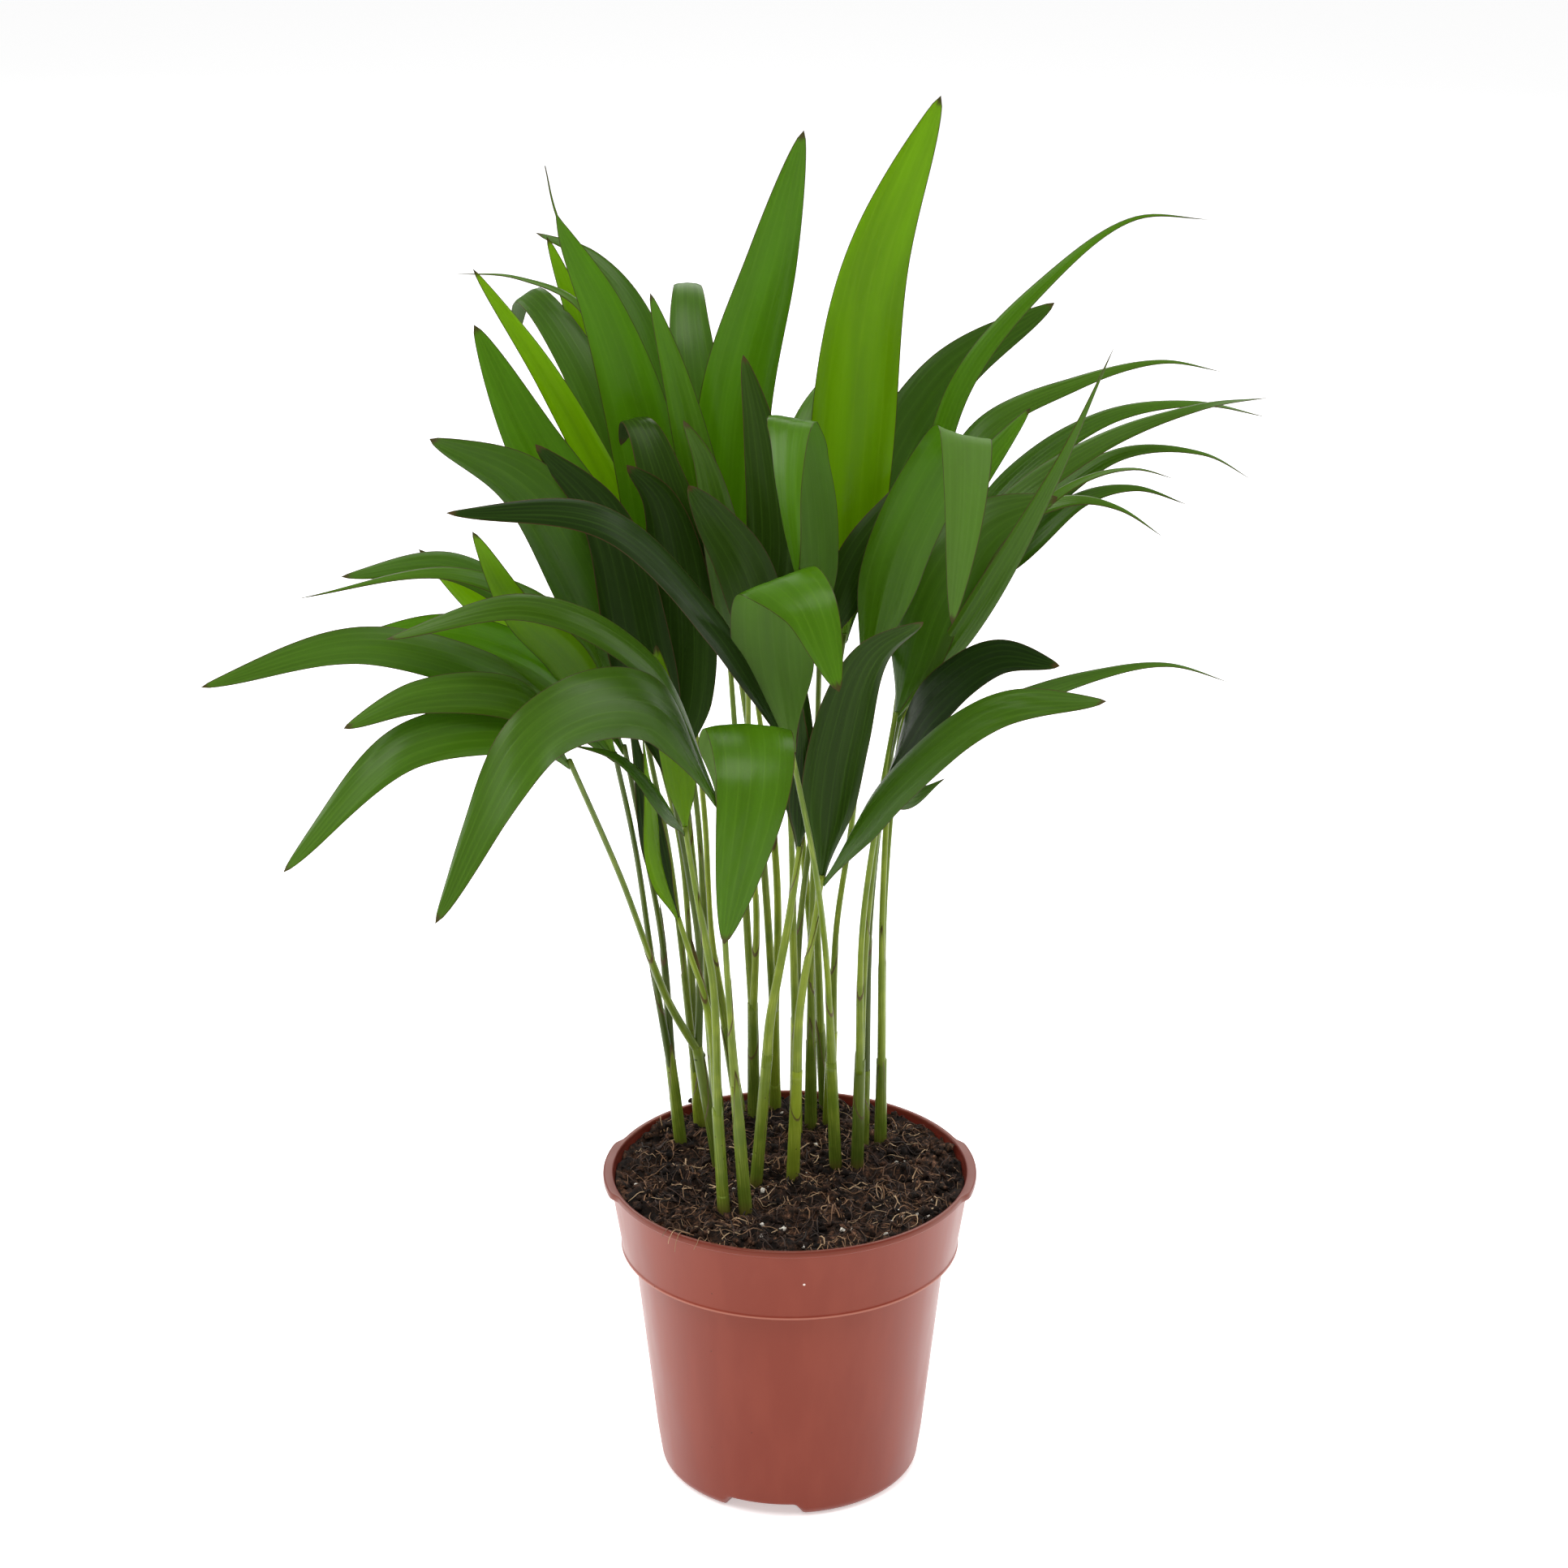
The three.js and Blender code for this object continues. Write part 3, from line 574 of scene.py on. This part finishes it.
colour = blended(tree, foot, colour, linear(stalkLook["foot"]))
rise = node(tree, "Bump", {"Height": grooves, "Strength": 0.35, "Distance": 0.15 * mm}).outputs[0]
skin = {"Base Color": colour, "Roughness": stalkLook["roughness"], "Normal": rise, "IOR": 1.42}
surface = node(tree, "BsdfPrincipled", skin)
surface.inputs["Specular Tint"].default_value = linear(stalkLook["sheen"])
shine = node(tree, "BsdfTranslucent", {"Color": linear(stalkLook["through"])})
mixed = node(tree, "MixShader", {0: stalkLook["throughShare"], 1: surface.outputs[0], 2: shine.outputs[0]})
finished(tree, mixed.outputs[0])


leafLook = {"margin": "#4a3122", "tip": "#4d3c22", "sheen": "#dde6cc", "veinMm": 0.8, "cloudMm": 7}


def leafSkin(name, greens, ribGreens, lightGreens, roughness, ribShare):
    # One side of a palm leaflet. greens run from an old leaflet darkened by painted shade to a young one.
    made, tree = blankMaterial(name)
    tone = node(tree, "Attribute", attribute_name="tone").outputs["Fac"]
    glow = node(tree, "Attribute", attribute_name="glow").outputs["Fac"]
    place = node(tree, "Attribute", attribute_name="place").outputs["Vector"]
    parts = node(tree, "SeparateXYZ", {0: place})
    rims = node(tree, "SeparateXYZ", {0: node(tree, "Attribute", attribute_name="rims").outputs["Vector"]})
    stops = (0.0, 0.34, 0.67, 1.0)
    colour = ramp(tree, tone, list(zip(stops, greens)))
    ribColour = ramp(tree, tone, list(zip(stops, ribGreens)))
    across = math2(tree, "MULTIPLY", parts.outputs["X"], parts.outputs["Z"])
    flat = node(tree, "CombineXYZ", {0: across, 1: parts.outputs["Y"], 2: rims.outputs["Z"]}).outputs[0]
    drawn = node(tree, "Mapping", {"Vector": flat, "Scale": (1, 0.012, 1)}).outputs[0]
    fine = {"Vector": drawn, "Scale": 1 / (leafLook["veinMm"] * mm), "Detail": 3}
    veins = node(tree, "TexNoise", fine).outputs["Fac"]
    colour = blended(tree, between(tree, veins, 0.45, 0.8, 0, 0.25), colour, ribColour)
    cloudy = node(tree, "Mapping", {"Vector": flat, "Scale": (1, 0.1, 1)}).outputs[0]
    broad = {"Vector": cloudy, "Scale": 1 / (leafLook["cloudMm"] * mm), "Detail": 3}
    clouds = node(tree, "TexNoise", broad).outputs["Fac"]
    shade = between(tree, clouds, 0.3, 0.7, 0.9, 1.08)
    colour = node(tree, "VectorMath", {0: colour, "Scale": shade}, operation="SCALE").outputs[0]
    shifted = math2(tree, "ADD", parts.outputs["X"], 1.0)
    nearRib = math2(tree, "MULTIPLY", math2(tree, "PINGPONG", shifted, 1 / 6), parts.outputs["Z"])
    rib = between(tree, nearRib, 0.08 * mm, 0.32 * mm, ribShare, 0.0)
    colour = blended(tree, rib, colour, ribColour)
    margin = between(tree, rims.outputs["X"], 0.1 * mm, 0.32 * mm, 0.8, 0.0)
    colour = blended(tree, margin, colour, linear(leafLook["margin"]))
    uneven = math2(tree, "MULTIPLY", math2(tree, "SUBTRACT", veins, 0.5), 4 * mm)
    ragged = math2(tree, "ADD", rims.outputs["Y"], uneven)
    tip = between(tree, ragged, 1.2 * mm, 3.6 * mm, 0.85, 0.0)
    colour = blended(tree, tip, colour, linear(leafLook["tip"]))
    height = math2(tree, "ADD", math2(tree, "MULTIPLY", veins, 0.5), rib)
    rise = node(tree, "Bump", {"Height": height, "Strength": 0.3, "Distance": 0.2 * mm}).outputs[0]
    rough = between(tree, clouds, 0.3, 0.7, roughness - 0.05, roughness + 0.07)
    surface = node(tree, "BsdfPrincipled", {"Base Color": colour, "Roughness": rough, "Normal": rise, "IOR": 1.42})
    surface.inputs["Specular Tint"].default_value = linear(leafLook["sheen"])
    tree.links.new(between(tree, tone, 0.05, 0.35, 0.12, 0.5), surface.inputs["Specular IOR Level"])
    through = ramp(tree, tone, list(zip(stops, lightGreens)))
    through = node(tree, "VectorMath", {0: through, "Scale": shade}, operation="SCALE").outputs[0]
    through = blended(tree, math2(tree, "MAXIMUM", tip, margin), through, linear(leafLook["tip"]))
    lit = node(tree, "BsdfTranslucent", {"Color": through})
    mixed = node(tree, "MixShader", {0: glow, 1: surface.outputs[0], 2: lit.outputs[0]})
    finished(tree, mixed.outputs[0])
    return made


lightGreens = ("#4d7a06", "#6e9e08", "#88b40a", "#a6c408")
leafTop = leafSkin(
    "palm leaflet upper side, waxy",
    ("#12200a", "#3e5e10", "#4b7406", "#5c8402"),
    ("#33501a", "#628a28", "#6f9a24", "#8aaa22"),
    lightGreens, 0.30, 0.2,
)  # fmt: skip
leafUnder = leafSkin(
    "palm leaflet underside, matt",
    ("#1f2b12", "#4c662c", "#5c7e2c", "#709428"),
    ("#33451f", "#648240", "#749844", "#88a83c"),
    lightGreens, 0.5, 0.2,
)  # fmt: skip

# Shoots: each a short stem in its oldest sheath, whose slanted mouth has a brown edge.
shoot = {
    "foot": 2.1, "head": 1.75, "depth": 9, "sides": 14, "gap": 0.3, "stalkFoot": 1.1, "stalkNeck": 0.85,
    "footOffset": 1.1, "sheathFoot": 1.78, "twinFoot": 1.45, "sheathMouth": 1.2,
    "slant": 5.0, "lip": 3.0, "cuts": 14, "wrapFoot": 2.26, "wrapMouth": 1.92, "stalkDepth": 5, "stalkSides": 10,
    "stalkCuts": 40, "sheathSides": 12, "sheathCuts": 18, "stalkSlant": 4.0, "stalkLip": 3.5,
}  # fmt: skip


def slanted(reach, turn, lip):
    # The end of a sheath: one side longer than the other, with a pointed lip.
    def shift(share, x, y):
        side = x * math.cos(turn) + y * math.sin(turn)
        near = smoothstep(0.75, 1.0, share)
        return near * reach * mm * (side + lip * max(0, side) ** 4)

    return shift


# Fronds: the shoot that each grows from, the points that its stalk bends through, and its blades, in millimetres.
# A blade has its look, its width, the way its right-hand edge lies, and the points from the stalk's end to the tip.
looks = {
    # deepShade is painted shade: the darkest green, for leaflets that lie in shadow.
    "deepShade": {"tone": 0.08, "glow": 0.16, "ripples": 0},
    "glossy": {"tone": 0.14, "glow": 0.14, "ripples": 0},
    "mature": {"tone": 0.36, "glow": 0.30, "ripples": 0},
    "dusky": {"tone": 0.28, "glow": 0.34, "ripples": 0},
    "dimpled": {"tone": 0.58, "glow": 0.36, "ripples": 1},
    "wrinkled": {"tone": 0.26, "glow": 0.26, "ripples": 1},
    "fresh": {"tone": 0.62, "glow": 0.46, "ripples": 0},
    "spiked": {"tone": 0.62, "glow": 0.46, "ripples": 0},
    "young": {"tone": 0.95, "glow": 0.60, "ripples": 0},
}
leaflet = {
    "thickness": 0.42, "acrossSteps": 24, "alongSteps": 60, "hang": 0.08, "sag": 0.10, "pleat": 0.11,
    "ribs": 0.07, "wave": 0.30, "twist": 0.10, "baseFold": 0.55, "root": 3, "bare": 12,
    "spikeFrom": 0.9,
}  # fmt: skip


def frond(number, stalk, *blades):
    return {"shoot": number, "stalk": stalk, "blades": blades}


def blade(look, wide, edge, *path):
    return {"look": look, "wide": wide, "edge": edge, "path": path}


fronds = [
    frond(7, [(-18, -27, 160), (-20, -34, 202), (-21, -42, 250)],
          blade("dimpled", 25, (-1, 0, 0), (-18, -52, 267), (-13, -72, 283), (-11, -92, 275), (-19, -100, 226)),
          blade("mature", 21, (0, 5, 7), (-41, -62, 286), (-72, -100, 290), (-99, -128, 244)),
          blade("mature", 12, (0, 1, 1), (-41, -52, 294), (-75, -72, 319), (-114, -90, 315))),
    frond(3, [(-38, -2, 163), (-52, -30, 219), (-65, -58, 267)],
          blade("mature", 15, (0, 5, 7), (-76, -72, 280), (-109, -95, 284), (-143, -112, 253)),
          blade("mature", 14, (0, 1, 1), (-77, -72, 290), (-104, -90, 298), (-125, -106, 294)),
          blade("mature", 10, (0, 1, 1), (-76, -63, 279), (-97, -74, 281))),
    frond(1, [(-44, 12, 171), (-48, -8, 218), (-53, -30, 259)],
          blade("mature", 14, (0, 5, 6), (-75, -50, 284), (-120, -90, 313), (-161, -126, 313)),
          blade("fresh", 15, (0, 5, 7), (-68, -40, 285), (-97, -60, 307), (-130, -80, 310)),
          blade("young", 13, (5, 1, 3), (-65, -42, 291), (-79, -56, 312), (-91, -64, 339))),
    frond(1, [(-41, 20, 173), (-45, 5, 210), (-51, -12, 255)],
          blade("mature", 10, (0, 1, 1), (-62, -28, 294), (-97, -60, 325), (-140, -84, 325)),
          blade("dusky", 14, (0, 1, 1), (-70, -18, 291), (-99, -34, 319), (-131, -50, 321)),
          blade("young", 12, (5, 1, 4), (-71, -16, 286), (-91, -20, 301), (-111, -22, 321))),
    frond(2, [(-36, 24, 180), (-39, 12, 214), (-46, 4, 258)],
          blade("mature", 24, (6, 1, 5), (-58, -4, 297), (-78, -28, 342), (-104, -48, 362)),
          blade("fresh", 23, (8, 1, 4), (-59, 16, 305), (-81, 22, 344), (-97, 30, 377))),
    frond(4, [(-28, 42, 170), (-30, 36, 215), (-37, 30, 272)],
          blade("spiked", 22, (8, 1, 3), (-44, 26, 337), (-56, 22, 381), (-70, 18, 413), (-73, 14, 429)),
          blade("young", 11, (5, 2, 4), (-50, 36, 308), (-74, 34, 358), (-97, 32, 394))),
    frond(5, [(-26, 50, 166), (-28, 48, 210), (-33, 44, 262)],
          blade("dusky", 16, (8, 1, 5), (-50, 48, 316), (-66, 60, 356), (-84, 80, 375), (-90, 100, 355)),
          blade("mature", 9, (0, 1, 1), (-53, 54, 330), (-65, 62, 374), (-86, 68, 383), (-107, 74, 383)),
          blade("young", 14, (8, 0, 3), (-45, 60, 317), (-59, 66, 350), (-77, 74, 395)),
          blade("dusky", 12, (2, 3, 5), (-36, 70, 309), (-48, 90, 363), (-64, 100, 382), (-83, 108, 389))),
    frond(8, [(-14, 42, 170), (-16, 38, 214), (-20, 30, 283)],
          blade("fresh", 23, (1, 0, 0), (-16, 22, 354), (-5, 16, 400), (4, 12, 440)),
          blade("dusky", 17, (1, 0, 0), (-27, 50, 330), (-32, 66, 368), (-33, 82, 378), (-35, 100, 364))),
    frond(10, [(-7, 44, 169), (-10, 40, 213), (-17, 26, 274)],
          blade("fresh", 13, (5, 0, 1), (-27, 16, 329), (-35, 12, 366), (-42, 8, 392)),
          blade("deepShade", 18, (5, 1, 1), (-34, -2, 324), (-44, 6, 350), (-48, 12, 352), (-52, 18, 342))),
    frond(12, [(3, 28, 176), (8, 24, 220), (17, 16, 282)],
          blade("young", 26, (6, 0, -2), (18, 10, 341), (25, 6, 400), (44, 2, 452)),
          blade("dusky", 21, (5, -2, -6), (25, 32, 315), (49, 61, 352), (85, 86, 371))),
    frond(13, [(7, 26, 176), (8, 14, 223), (9, -8, 285)],
          blade("fresh", 19, (-5, 5, 0), (8, -18, 329), (4, -26, 357), (0, -44, 366), (-1, -56, 351), (2, -56, 322)),
          blade("deepShade", 14, (5, 0, -4), (21, -2, 312), (33, 6, 327), (44, 14, 340))),
    frond(14, [(15, 28, 176), (20, 14, 223), (22, -4, 270)],
          blade("fresh", 20, (8, 0, -3), (32, -14, 318), (46, -24, 351), (50, -42, 361), (50, -54, 345), (47, -58, 309)),
          blade("fresh", 14, (6, -1, -5), (31, 22, 288), (54, 38, 320), (76, 56, 344))),
    frond(15, [(12, -8, 175), (8, -28, 219), (0, -46, 268)],
          blade("deepShade", 15, (0, 6, 6), (-22, -60, 310), (-53, -80, 347), (-95, -100, 355)),
          blade("fresh", 25, (-6, 0, -2), (-5, -50, 301), (-4, -62, 324), (5, -78, 322), (14, -86, 298))),
    frond(11, [(3, -8, 163), (7, -14, 193), (10, -20, 215)],
          blade("glossy", 19, (6, 1, -3), (15, -28, 260), (24, -40, 293), (39, -52, 308)),
          blade("wrinkled", 17, (0, -5, -6), (33, -40, 254), (61, -66, 286), (90, -88, 296))),
    frond(17, [(23, 6, 185), (27, 4, 222), (33, 5, 260)],
          blade("dusky", 23, (3, -3, -6), (44, 6, 298), (60, 14, 318), (83, 24, 324)),
          blade("mature", 9, (6, 0, -4), (54, 0, 289), (79, -6, 338), (96, -12, 381))),
    frond(17, [(24, 10, 176), (27, 9, 212), (30, 8, 239)],
          blade("deepShade", 17, (1, -4, -6), (43, -12, 269), (62, -28, 289), (80, -42, 291)),
          blade("mature", 7, (0, -1, -1), (58, 22, 251), (99, 50, 257), (123, 60, 257), (146, 70, 247)),
          blade("dusky", 10, (0, -4, -5), (38, 20, 226), (50, 32, 228))),
    frond(19, [(30, 24, 191), (33, 30, 245), (40, 40, 291)],
          blade("fresh", 8, (3, -2, -5), (52, 44, 352), (82, 58, 386), (108, 68, 402), (133, 76, 400)),
          blade("mature", 9, (0, -1, -1), (59, 62, 332), (93, 84, 345), (121, 96, 349), (143, 106, 343)),
          blade("mature", 9, (0, -1, -1), (63, 42, 312), (100, 64, 331), (132, 80, 338), (158, 104, 335))),
    frond(19, [(31, 32, 191), (36, 44, 240), (46, 56, 280)],
          blade("mature", 9, (0, -1, -1), (67, 72, 311), (102, 92, 331), (133, 104, 333), (160, 120, 324)),
          blade("mature", 8, (0, -1, -1), (72, 60, 303), (106, 74, 324), (134, 82, 322), (152, 88, 311)),
          blade("dusky", 10, (0, -1, -1), (69, 50, 296), (93, 60, 313), (111, 66, 315), (129, 70, 308)),
          blade("mature", 15, (5, -1, -3), (50, 74, 300), (56, 98, 314), (60, 118, 316))),
    frond(18, [(26, 20, 187), (31, 22, 234), (40, 24, 275)],
          blade("mature", 9, (0, -1, -1), (62, 34, 309), (88, 38, 319), (103, 40, 316), (119, 42, 305)),
          blade("mature", 7, (0, -1, -1), (64, 26, 307), (89, 26, 328), (106, 24, 333), (120, 22, 330))),
    frond(9, [(-6, -8, 163), (-1, -8, 191), (3, -12, 222)],
          blade("deepShade", 9, (1, 0, 0), (4, -24, 254), (3, -34, 281)),
          blade("deepShade", 12, (1, 0, 0), (1, -14, 262), (-2, -18, 290), (-4, -20, 310))),
    frond(16, [(9, 48, 167), (7, 50, 210), (3, 50, 266)],
          blade("mature", 14, (1, 0, 0), (7, 48, 310), (14, 46, 333)),
          blade("young", 13, (1, 0, 0), (15, 70, 287), (25, 96, 307), (30, 124, 310))),
    frond(16, [(7, 56, 164), (3, 66, 203), (-4, 72, 253)],
          blade("mature", 20, (1, 0, 0), (-9, 88, 298), (-12, 110, 314), (-13, 126, 315)),
          blade("mature", 16, (1, 0, 1), (-18, 84, 282), (-31, 100, 300), (-42, 118, 300))),
    frond(6, [(-24, -22, 180), (-28, -26, 206), (-32, -30, 235)],
          blade("young", 11, (1, 0, 0), (-35, -30, 261), (-38, -32, 277), (-40, -34, 295)),
          blade("dusky", 9, (0, 1, 1), (-39, -44, 249), (-51, -56, 267), (-65, -66, 275))),
    frond(6, [(-26, -14, 168), (-31, -10, 183), (-35, -10, 197)],
          blade("young", 10, (5, 7, 0), (-41, -14, 218), (-43, -18, 238), (-45, -22, 264)),
          blade("deepShade", 9, (1, 0, 0), (-40, -12, 212), (-46, -16, 250), (-51, -18, 277))),
    frond(3, [(-29, 8, 176), (-32, 2, 206), (-37, -8, 242)],
          blade("deepShade", 20, (7, 1, 3), (-45, -14, 287), (-55, -20, 330), (-75, -28, 355)),
          blade("deepShade", 22, (7, 0, 2), (-33, -3, 288), (-39, -7, 331), (-49, -11, 344))),
    frond(8, [(-11, 36, 178), (-13, 22, 220), (-13, 6, 272)],
          blade("deepShade", 16, (1, 0, 0), (-6, -2, 314), (-9, -6, 351), (-14, -8, 377)),
          blade("mature", 13, (1, 0, 1), (-20, -6, 314), (-26, -8, 344), (-32, -8, 357))),
    frond(10, [(-4, 50, 175), (-6, 56, 207), (-12, 60, 254)],
          blade("fresh", 14, (1, 0, 0), (-18, 74, 300), (-20, 94, 338), (-22, 112, 352)),
          blade("mature", 15, (1, 0, 0), (-4, 76, 296), (6, 98, 330), (14, 114, 342))),
    frond(4, [(-30, 52, 165), (-34, 58, 206), (-42, 66, 246)],
          blade("mature", 18, (4, 0, 3), (-55, 84, 271), (-66, 104, 279), (-78, 120, 286)),
          blade("mature", 18, (1, 0, 0), (-47, 90, 264), (-50, 112, 274), (-54, 128, 275))),
    frond(12, [(1, 20, 179), (0, 8, 226), (-5, -6, 279)],
          blade("deepShade", 18, (1, 0, 1), (-14, -16, 313), (-23, -22, 330), (-30, -30, 343)),
          blade("deepShade", 14, (1, 0, 0), (4, -4, 291), (6, 6, 307), (6, 16, 318))),
    frond(2, [(-33, 34, 173), (-36, 36, 206), (-47, 40, 252)],
          blade("fresh", 18, (6, 0, 4), (-58, 46, 285), (-68, 50, 303), (-77, 54, 318)),
          blade("mature", 14, (6, 0, 4), (-63, 46, 296), (-79, 50, 330), (-92, 54, 346))),
]


def halfWidth(wide, share, look):
    # Half a blade's width: narrow at the base, widest before the middle, then a point.
    if look == "spiked":
        return max(halfWidth(wide, min(share / leaflet["spikeFrom"], 1), "") - 0.2, 2.5 * (1 - share) + 0.15)
    warped = min((0.05 + 0.95 * share) ** 0.8, 1.0)
    full = wide / 2 * max(math.sin(math.pi * warped), 0.0) ** (0.9 if wide < 11 else 0.66)
    full *= 1 - (0.6 if wide < 11 else 0.05) * smoothstep(0.25, 0.95, share)
    return full * (0.35 + 0.65 * smoothstep(0.0, 0.26, share)) + 0.25 * (1 - smoothstep(0.0, 0.06, share))


def layBlade(bm, root, leaf, rng):
    # Two faces of the leaflet, laid along its midline and joined along the edges.
    toneLayer, glowLayer, placeLayer, rimsLayer = layers(bm)
    length, at = midline([root] + [Vector(p) * mm for p in leaf["path"]])
    look, edge, l = looks[leaf["look"]], Vector(leaf["edge"]), leaflet
    tone = min(max(look["tone"] + rng.uniform(-0.06, 0.06), 0), 1)
    seed = rng.uniform(0, 40)
    twist, waves = rng.uniform(-1, 1) * l["twist"], rng.uniform(0.6, 1.4) * l["wave"]
    pleat, lean = rng.uniform(0.6, 1.4) * l["pleat"], rng.uniform(-0.08, 0.08)
    rows = {}
    for side in (1, -1):
        grid = bmesh.ops.create_grid(bm, x_segments=l["acrossSteps"], y_segments=l["alongSteps"], size=1)["verts"]
        for vert in grid:
            x, share = round(vert.co.x, 5), round(vert.co.y / 2 + 0.5, 5)
            if share not in rows:
                spot, along = at(share)
                across = (edge - along * along.dot(edge)).normalized()
                turn = Matrix.Rotation(twist * math.sin(math.pi * share), 3, along)
                across = turn @ across
                rows[share] = (spot, across, across.cross(along), halfWidth(leaf["wide"], share, leaf["look"]))
            spot, across, over, half = rows[share]
            reach = share * length / mm
            base = math.exp(-reach / l["bare"])
            opened = 1 - base
            body = min(1.0, half / 4)
            ribs = abs(math.sin(1.5 * math.pi * (x + 1)))
            lift = -(l["hang"] * half + l["sag"] * half * opened * 0.4) * x * x
            lift += pleat * ribs * body * opened + l["ribs"] * max(0, 1 - ribs * 3) * body
            lift += waves * body * x * abs(x) * noise.noise(Vector((reach / 16, seed, 0)))
            lift += 0.5 * waves * noise.noise(Vector((reach / 26, seed + 9, x * 0.7))) * body
            wide = half * (1 - 0.35 * base) * (1 + lean * x)
            lift -= l["baseFold"] * half * base * abs(x)
            if look["ripples"]:
                zone = window(reach / (length / mm) * 100, 76, 30, 10) * (1 - x * x)
                row = math.sin(reach / 1.5) * math.sin(x * half * 1.3 + 2 * math.floor(reach / 4.7))
                lift += 0.28 * zone * row
            thick = l["thickness"] / 2 * (1 - abs(x) ** 5) * min(1, 12 * share, 10 * (1 - share)) * side
            vert.co = spot + across * (x * wide * mm) + over * ((lift + thick) * mm)
            vert[toneLayer] = tone
            vert[glowLayer] = look["glow"]
            vert[placeLayer] = (x, share * length, half * mm)
            vert[rimsLayer] = ((1 - abs(x)) * half * mm, (1 - share) * length, seed * mm)
        faces = {f for v in grid for f in v.link_faces}
        if side < 0:
            bmesh.ops.reverse_faces(bm, faces=list(faces))
        for face in faces:
            face.material_index = 0 if side > 0 else 1


def ground(at):
    return Vector((at[0], at[1], soilHeight(*at))) * mm


def shootHead(index):
    # On the way to the first bend of the stalks that the shoot carries.
    at, rise = shoots[index]
    aims = [Vector(f["stalk"][0]) * mm for f in fronds if f["shoot"] == index + 1]
    aim = sum(aims, Vector()) / len(aims)
    start = ground(at)
    return start.lerp(aim, rise * mm / (aim.z - start.z)), aim


def joinedUp(bm):
    bmesh.ops.remove_doubles(bm, verts=bm.verts, dist=0.002 * mm)
    bmesh.ops.dissolve_degenerate(bm, edges=bm.edges, dist=0.001 * mm)
    for e in bm.edges:
        if len(e.link_faces) == 2 and {f.material_index for f in e.link_faces} == {0, 1}:
            e.smooth = False


def makeShoots():
    rng = random.Random(5)
    for index, (at, rise) in enumerate(shoots):
        head, aim = shootHead(index)
        start = ground(at)
        down = (start - head).normalized()
        points = [start + down * shoot["depth"] * mm, start, head]
        bm = bmesh.new()
        tone = rng.uniform(0.5, 1.5)
        slope = lambda share, reach: mm * (shoot["foot"] + (shoot["head"] - shoot["foot"]) * share)
        tube(bm, points, slope, shoot["sides"], shoot["cuts"], tone)
        # The oldest sheath wraps the stem's lower part.
        wrap = points[:2] + [start.lerp(head, rng.uniform(0.3, 0.75))]
        turn = rng.uniform(0, 6.28)
        wrapRadius = lambda share, reach: mm * (shoot["wrapFoot"] + (shoot["wrapMouth"] - shoot["wrapFoot"]) * share)
        mouth = slanted(shoot["slant"], turn, shoot["lip"])
        tube(bm, wrap, wrapRadius, shoot["sides"], shoot["cuts"], tone - 0.1, shift=mouth)
        keep(bm, f"shoot{index + 1:02d}", [stalkGreen], "shoot_green", [f"shoot_{index + 1:02d}"])


def makeFronds():
    rng = random.Random(23)
    for index, one in enumerate(fronds):
        head, aim = shootHead(one["shoot"] - 1)
        first = Vector(one["stalk"][0]) * mm
        rising = (first - head).normalized()
        away = first - aim
        away.z = 0
        if away.length > 0.01 * mm:
            away = away.normalized() * shoot["footOffset"] * mm
        foot = head + rising * shoot["gap"] * mm + away
        bm = bmesh.new()
        tone = rng.choice((0.3, 0.6, 0.8, 1.0, 1.0, 1.3))
        stalk = [Vector(p) * mm for p in one["stalk"]]
        start = foot - rising * shoot["stalkDepth"] * mm - away * 0.4
        sheathLong = rng.choice((22, 26, 32, 38, 46, 60)) + 5
        wideFoot = shoot["twinFoot"] if away.length > 0 else shoot["sheathFoot"]

        def thick(share, reach):
            return mm * (shoot["stalkFoot"] + (shoot["stalkNeck"] - shoot["stalkFoot"]) * share)

        tube(bm, [start] + stalk, thick, shoot["stalkSides"], shoot["stalkCuts"], tone, material=2)
        length, at = midline([start] + stalk)
        wrap = [at(k / 4 * sheathLong * mm / length)[0] for k in range(5)]
        turn = rng.uniform(0, 6.28)
        sheath = lambda share, reach: mm * (wideFoot + (shoot["sheathMouth"] - wideFoot) * share**0.8)
        sizes = (shoot["sheathSides"], shoot["sheathCuts"])
        mouth = slanted(shoot["stalkSlant"], turn, shoot["stalkLip"])
        tube(bm, wrap, sheath, *sizes, tone - 0.08, material=2, shift=mouth)
        root = at(1 - leaflet["root"] * mm / length)[0]
        for leaf in one["blades"]:
            layBlade(bm, root, leaf, rng)
        joinedUp(bm)
        name = f"frond_{index + 1:02d}"
        keep(bm, f"frond{index + 1:02d}", [leafTop, leafUnder, stalkGreen], "leaf_green", [name])


makeShoots()
print("shoots made")
makeFronds()
print("fronds made")
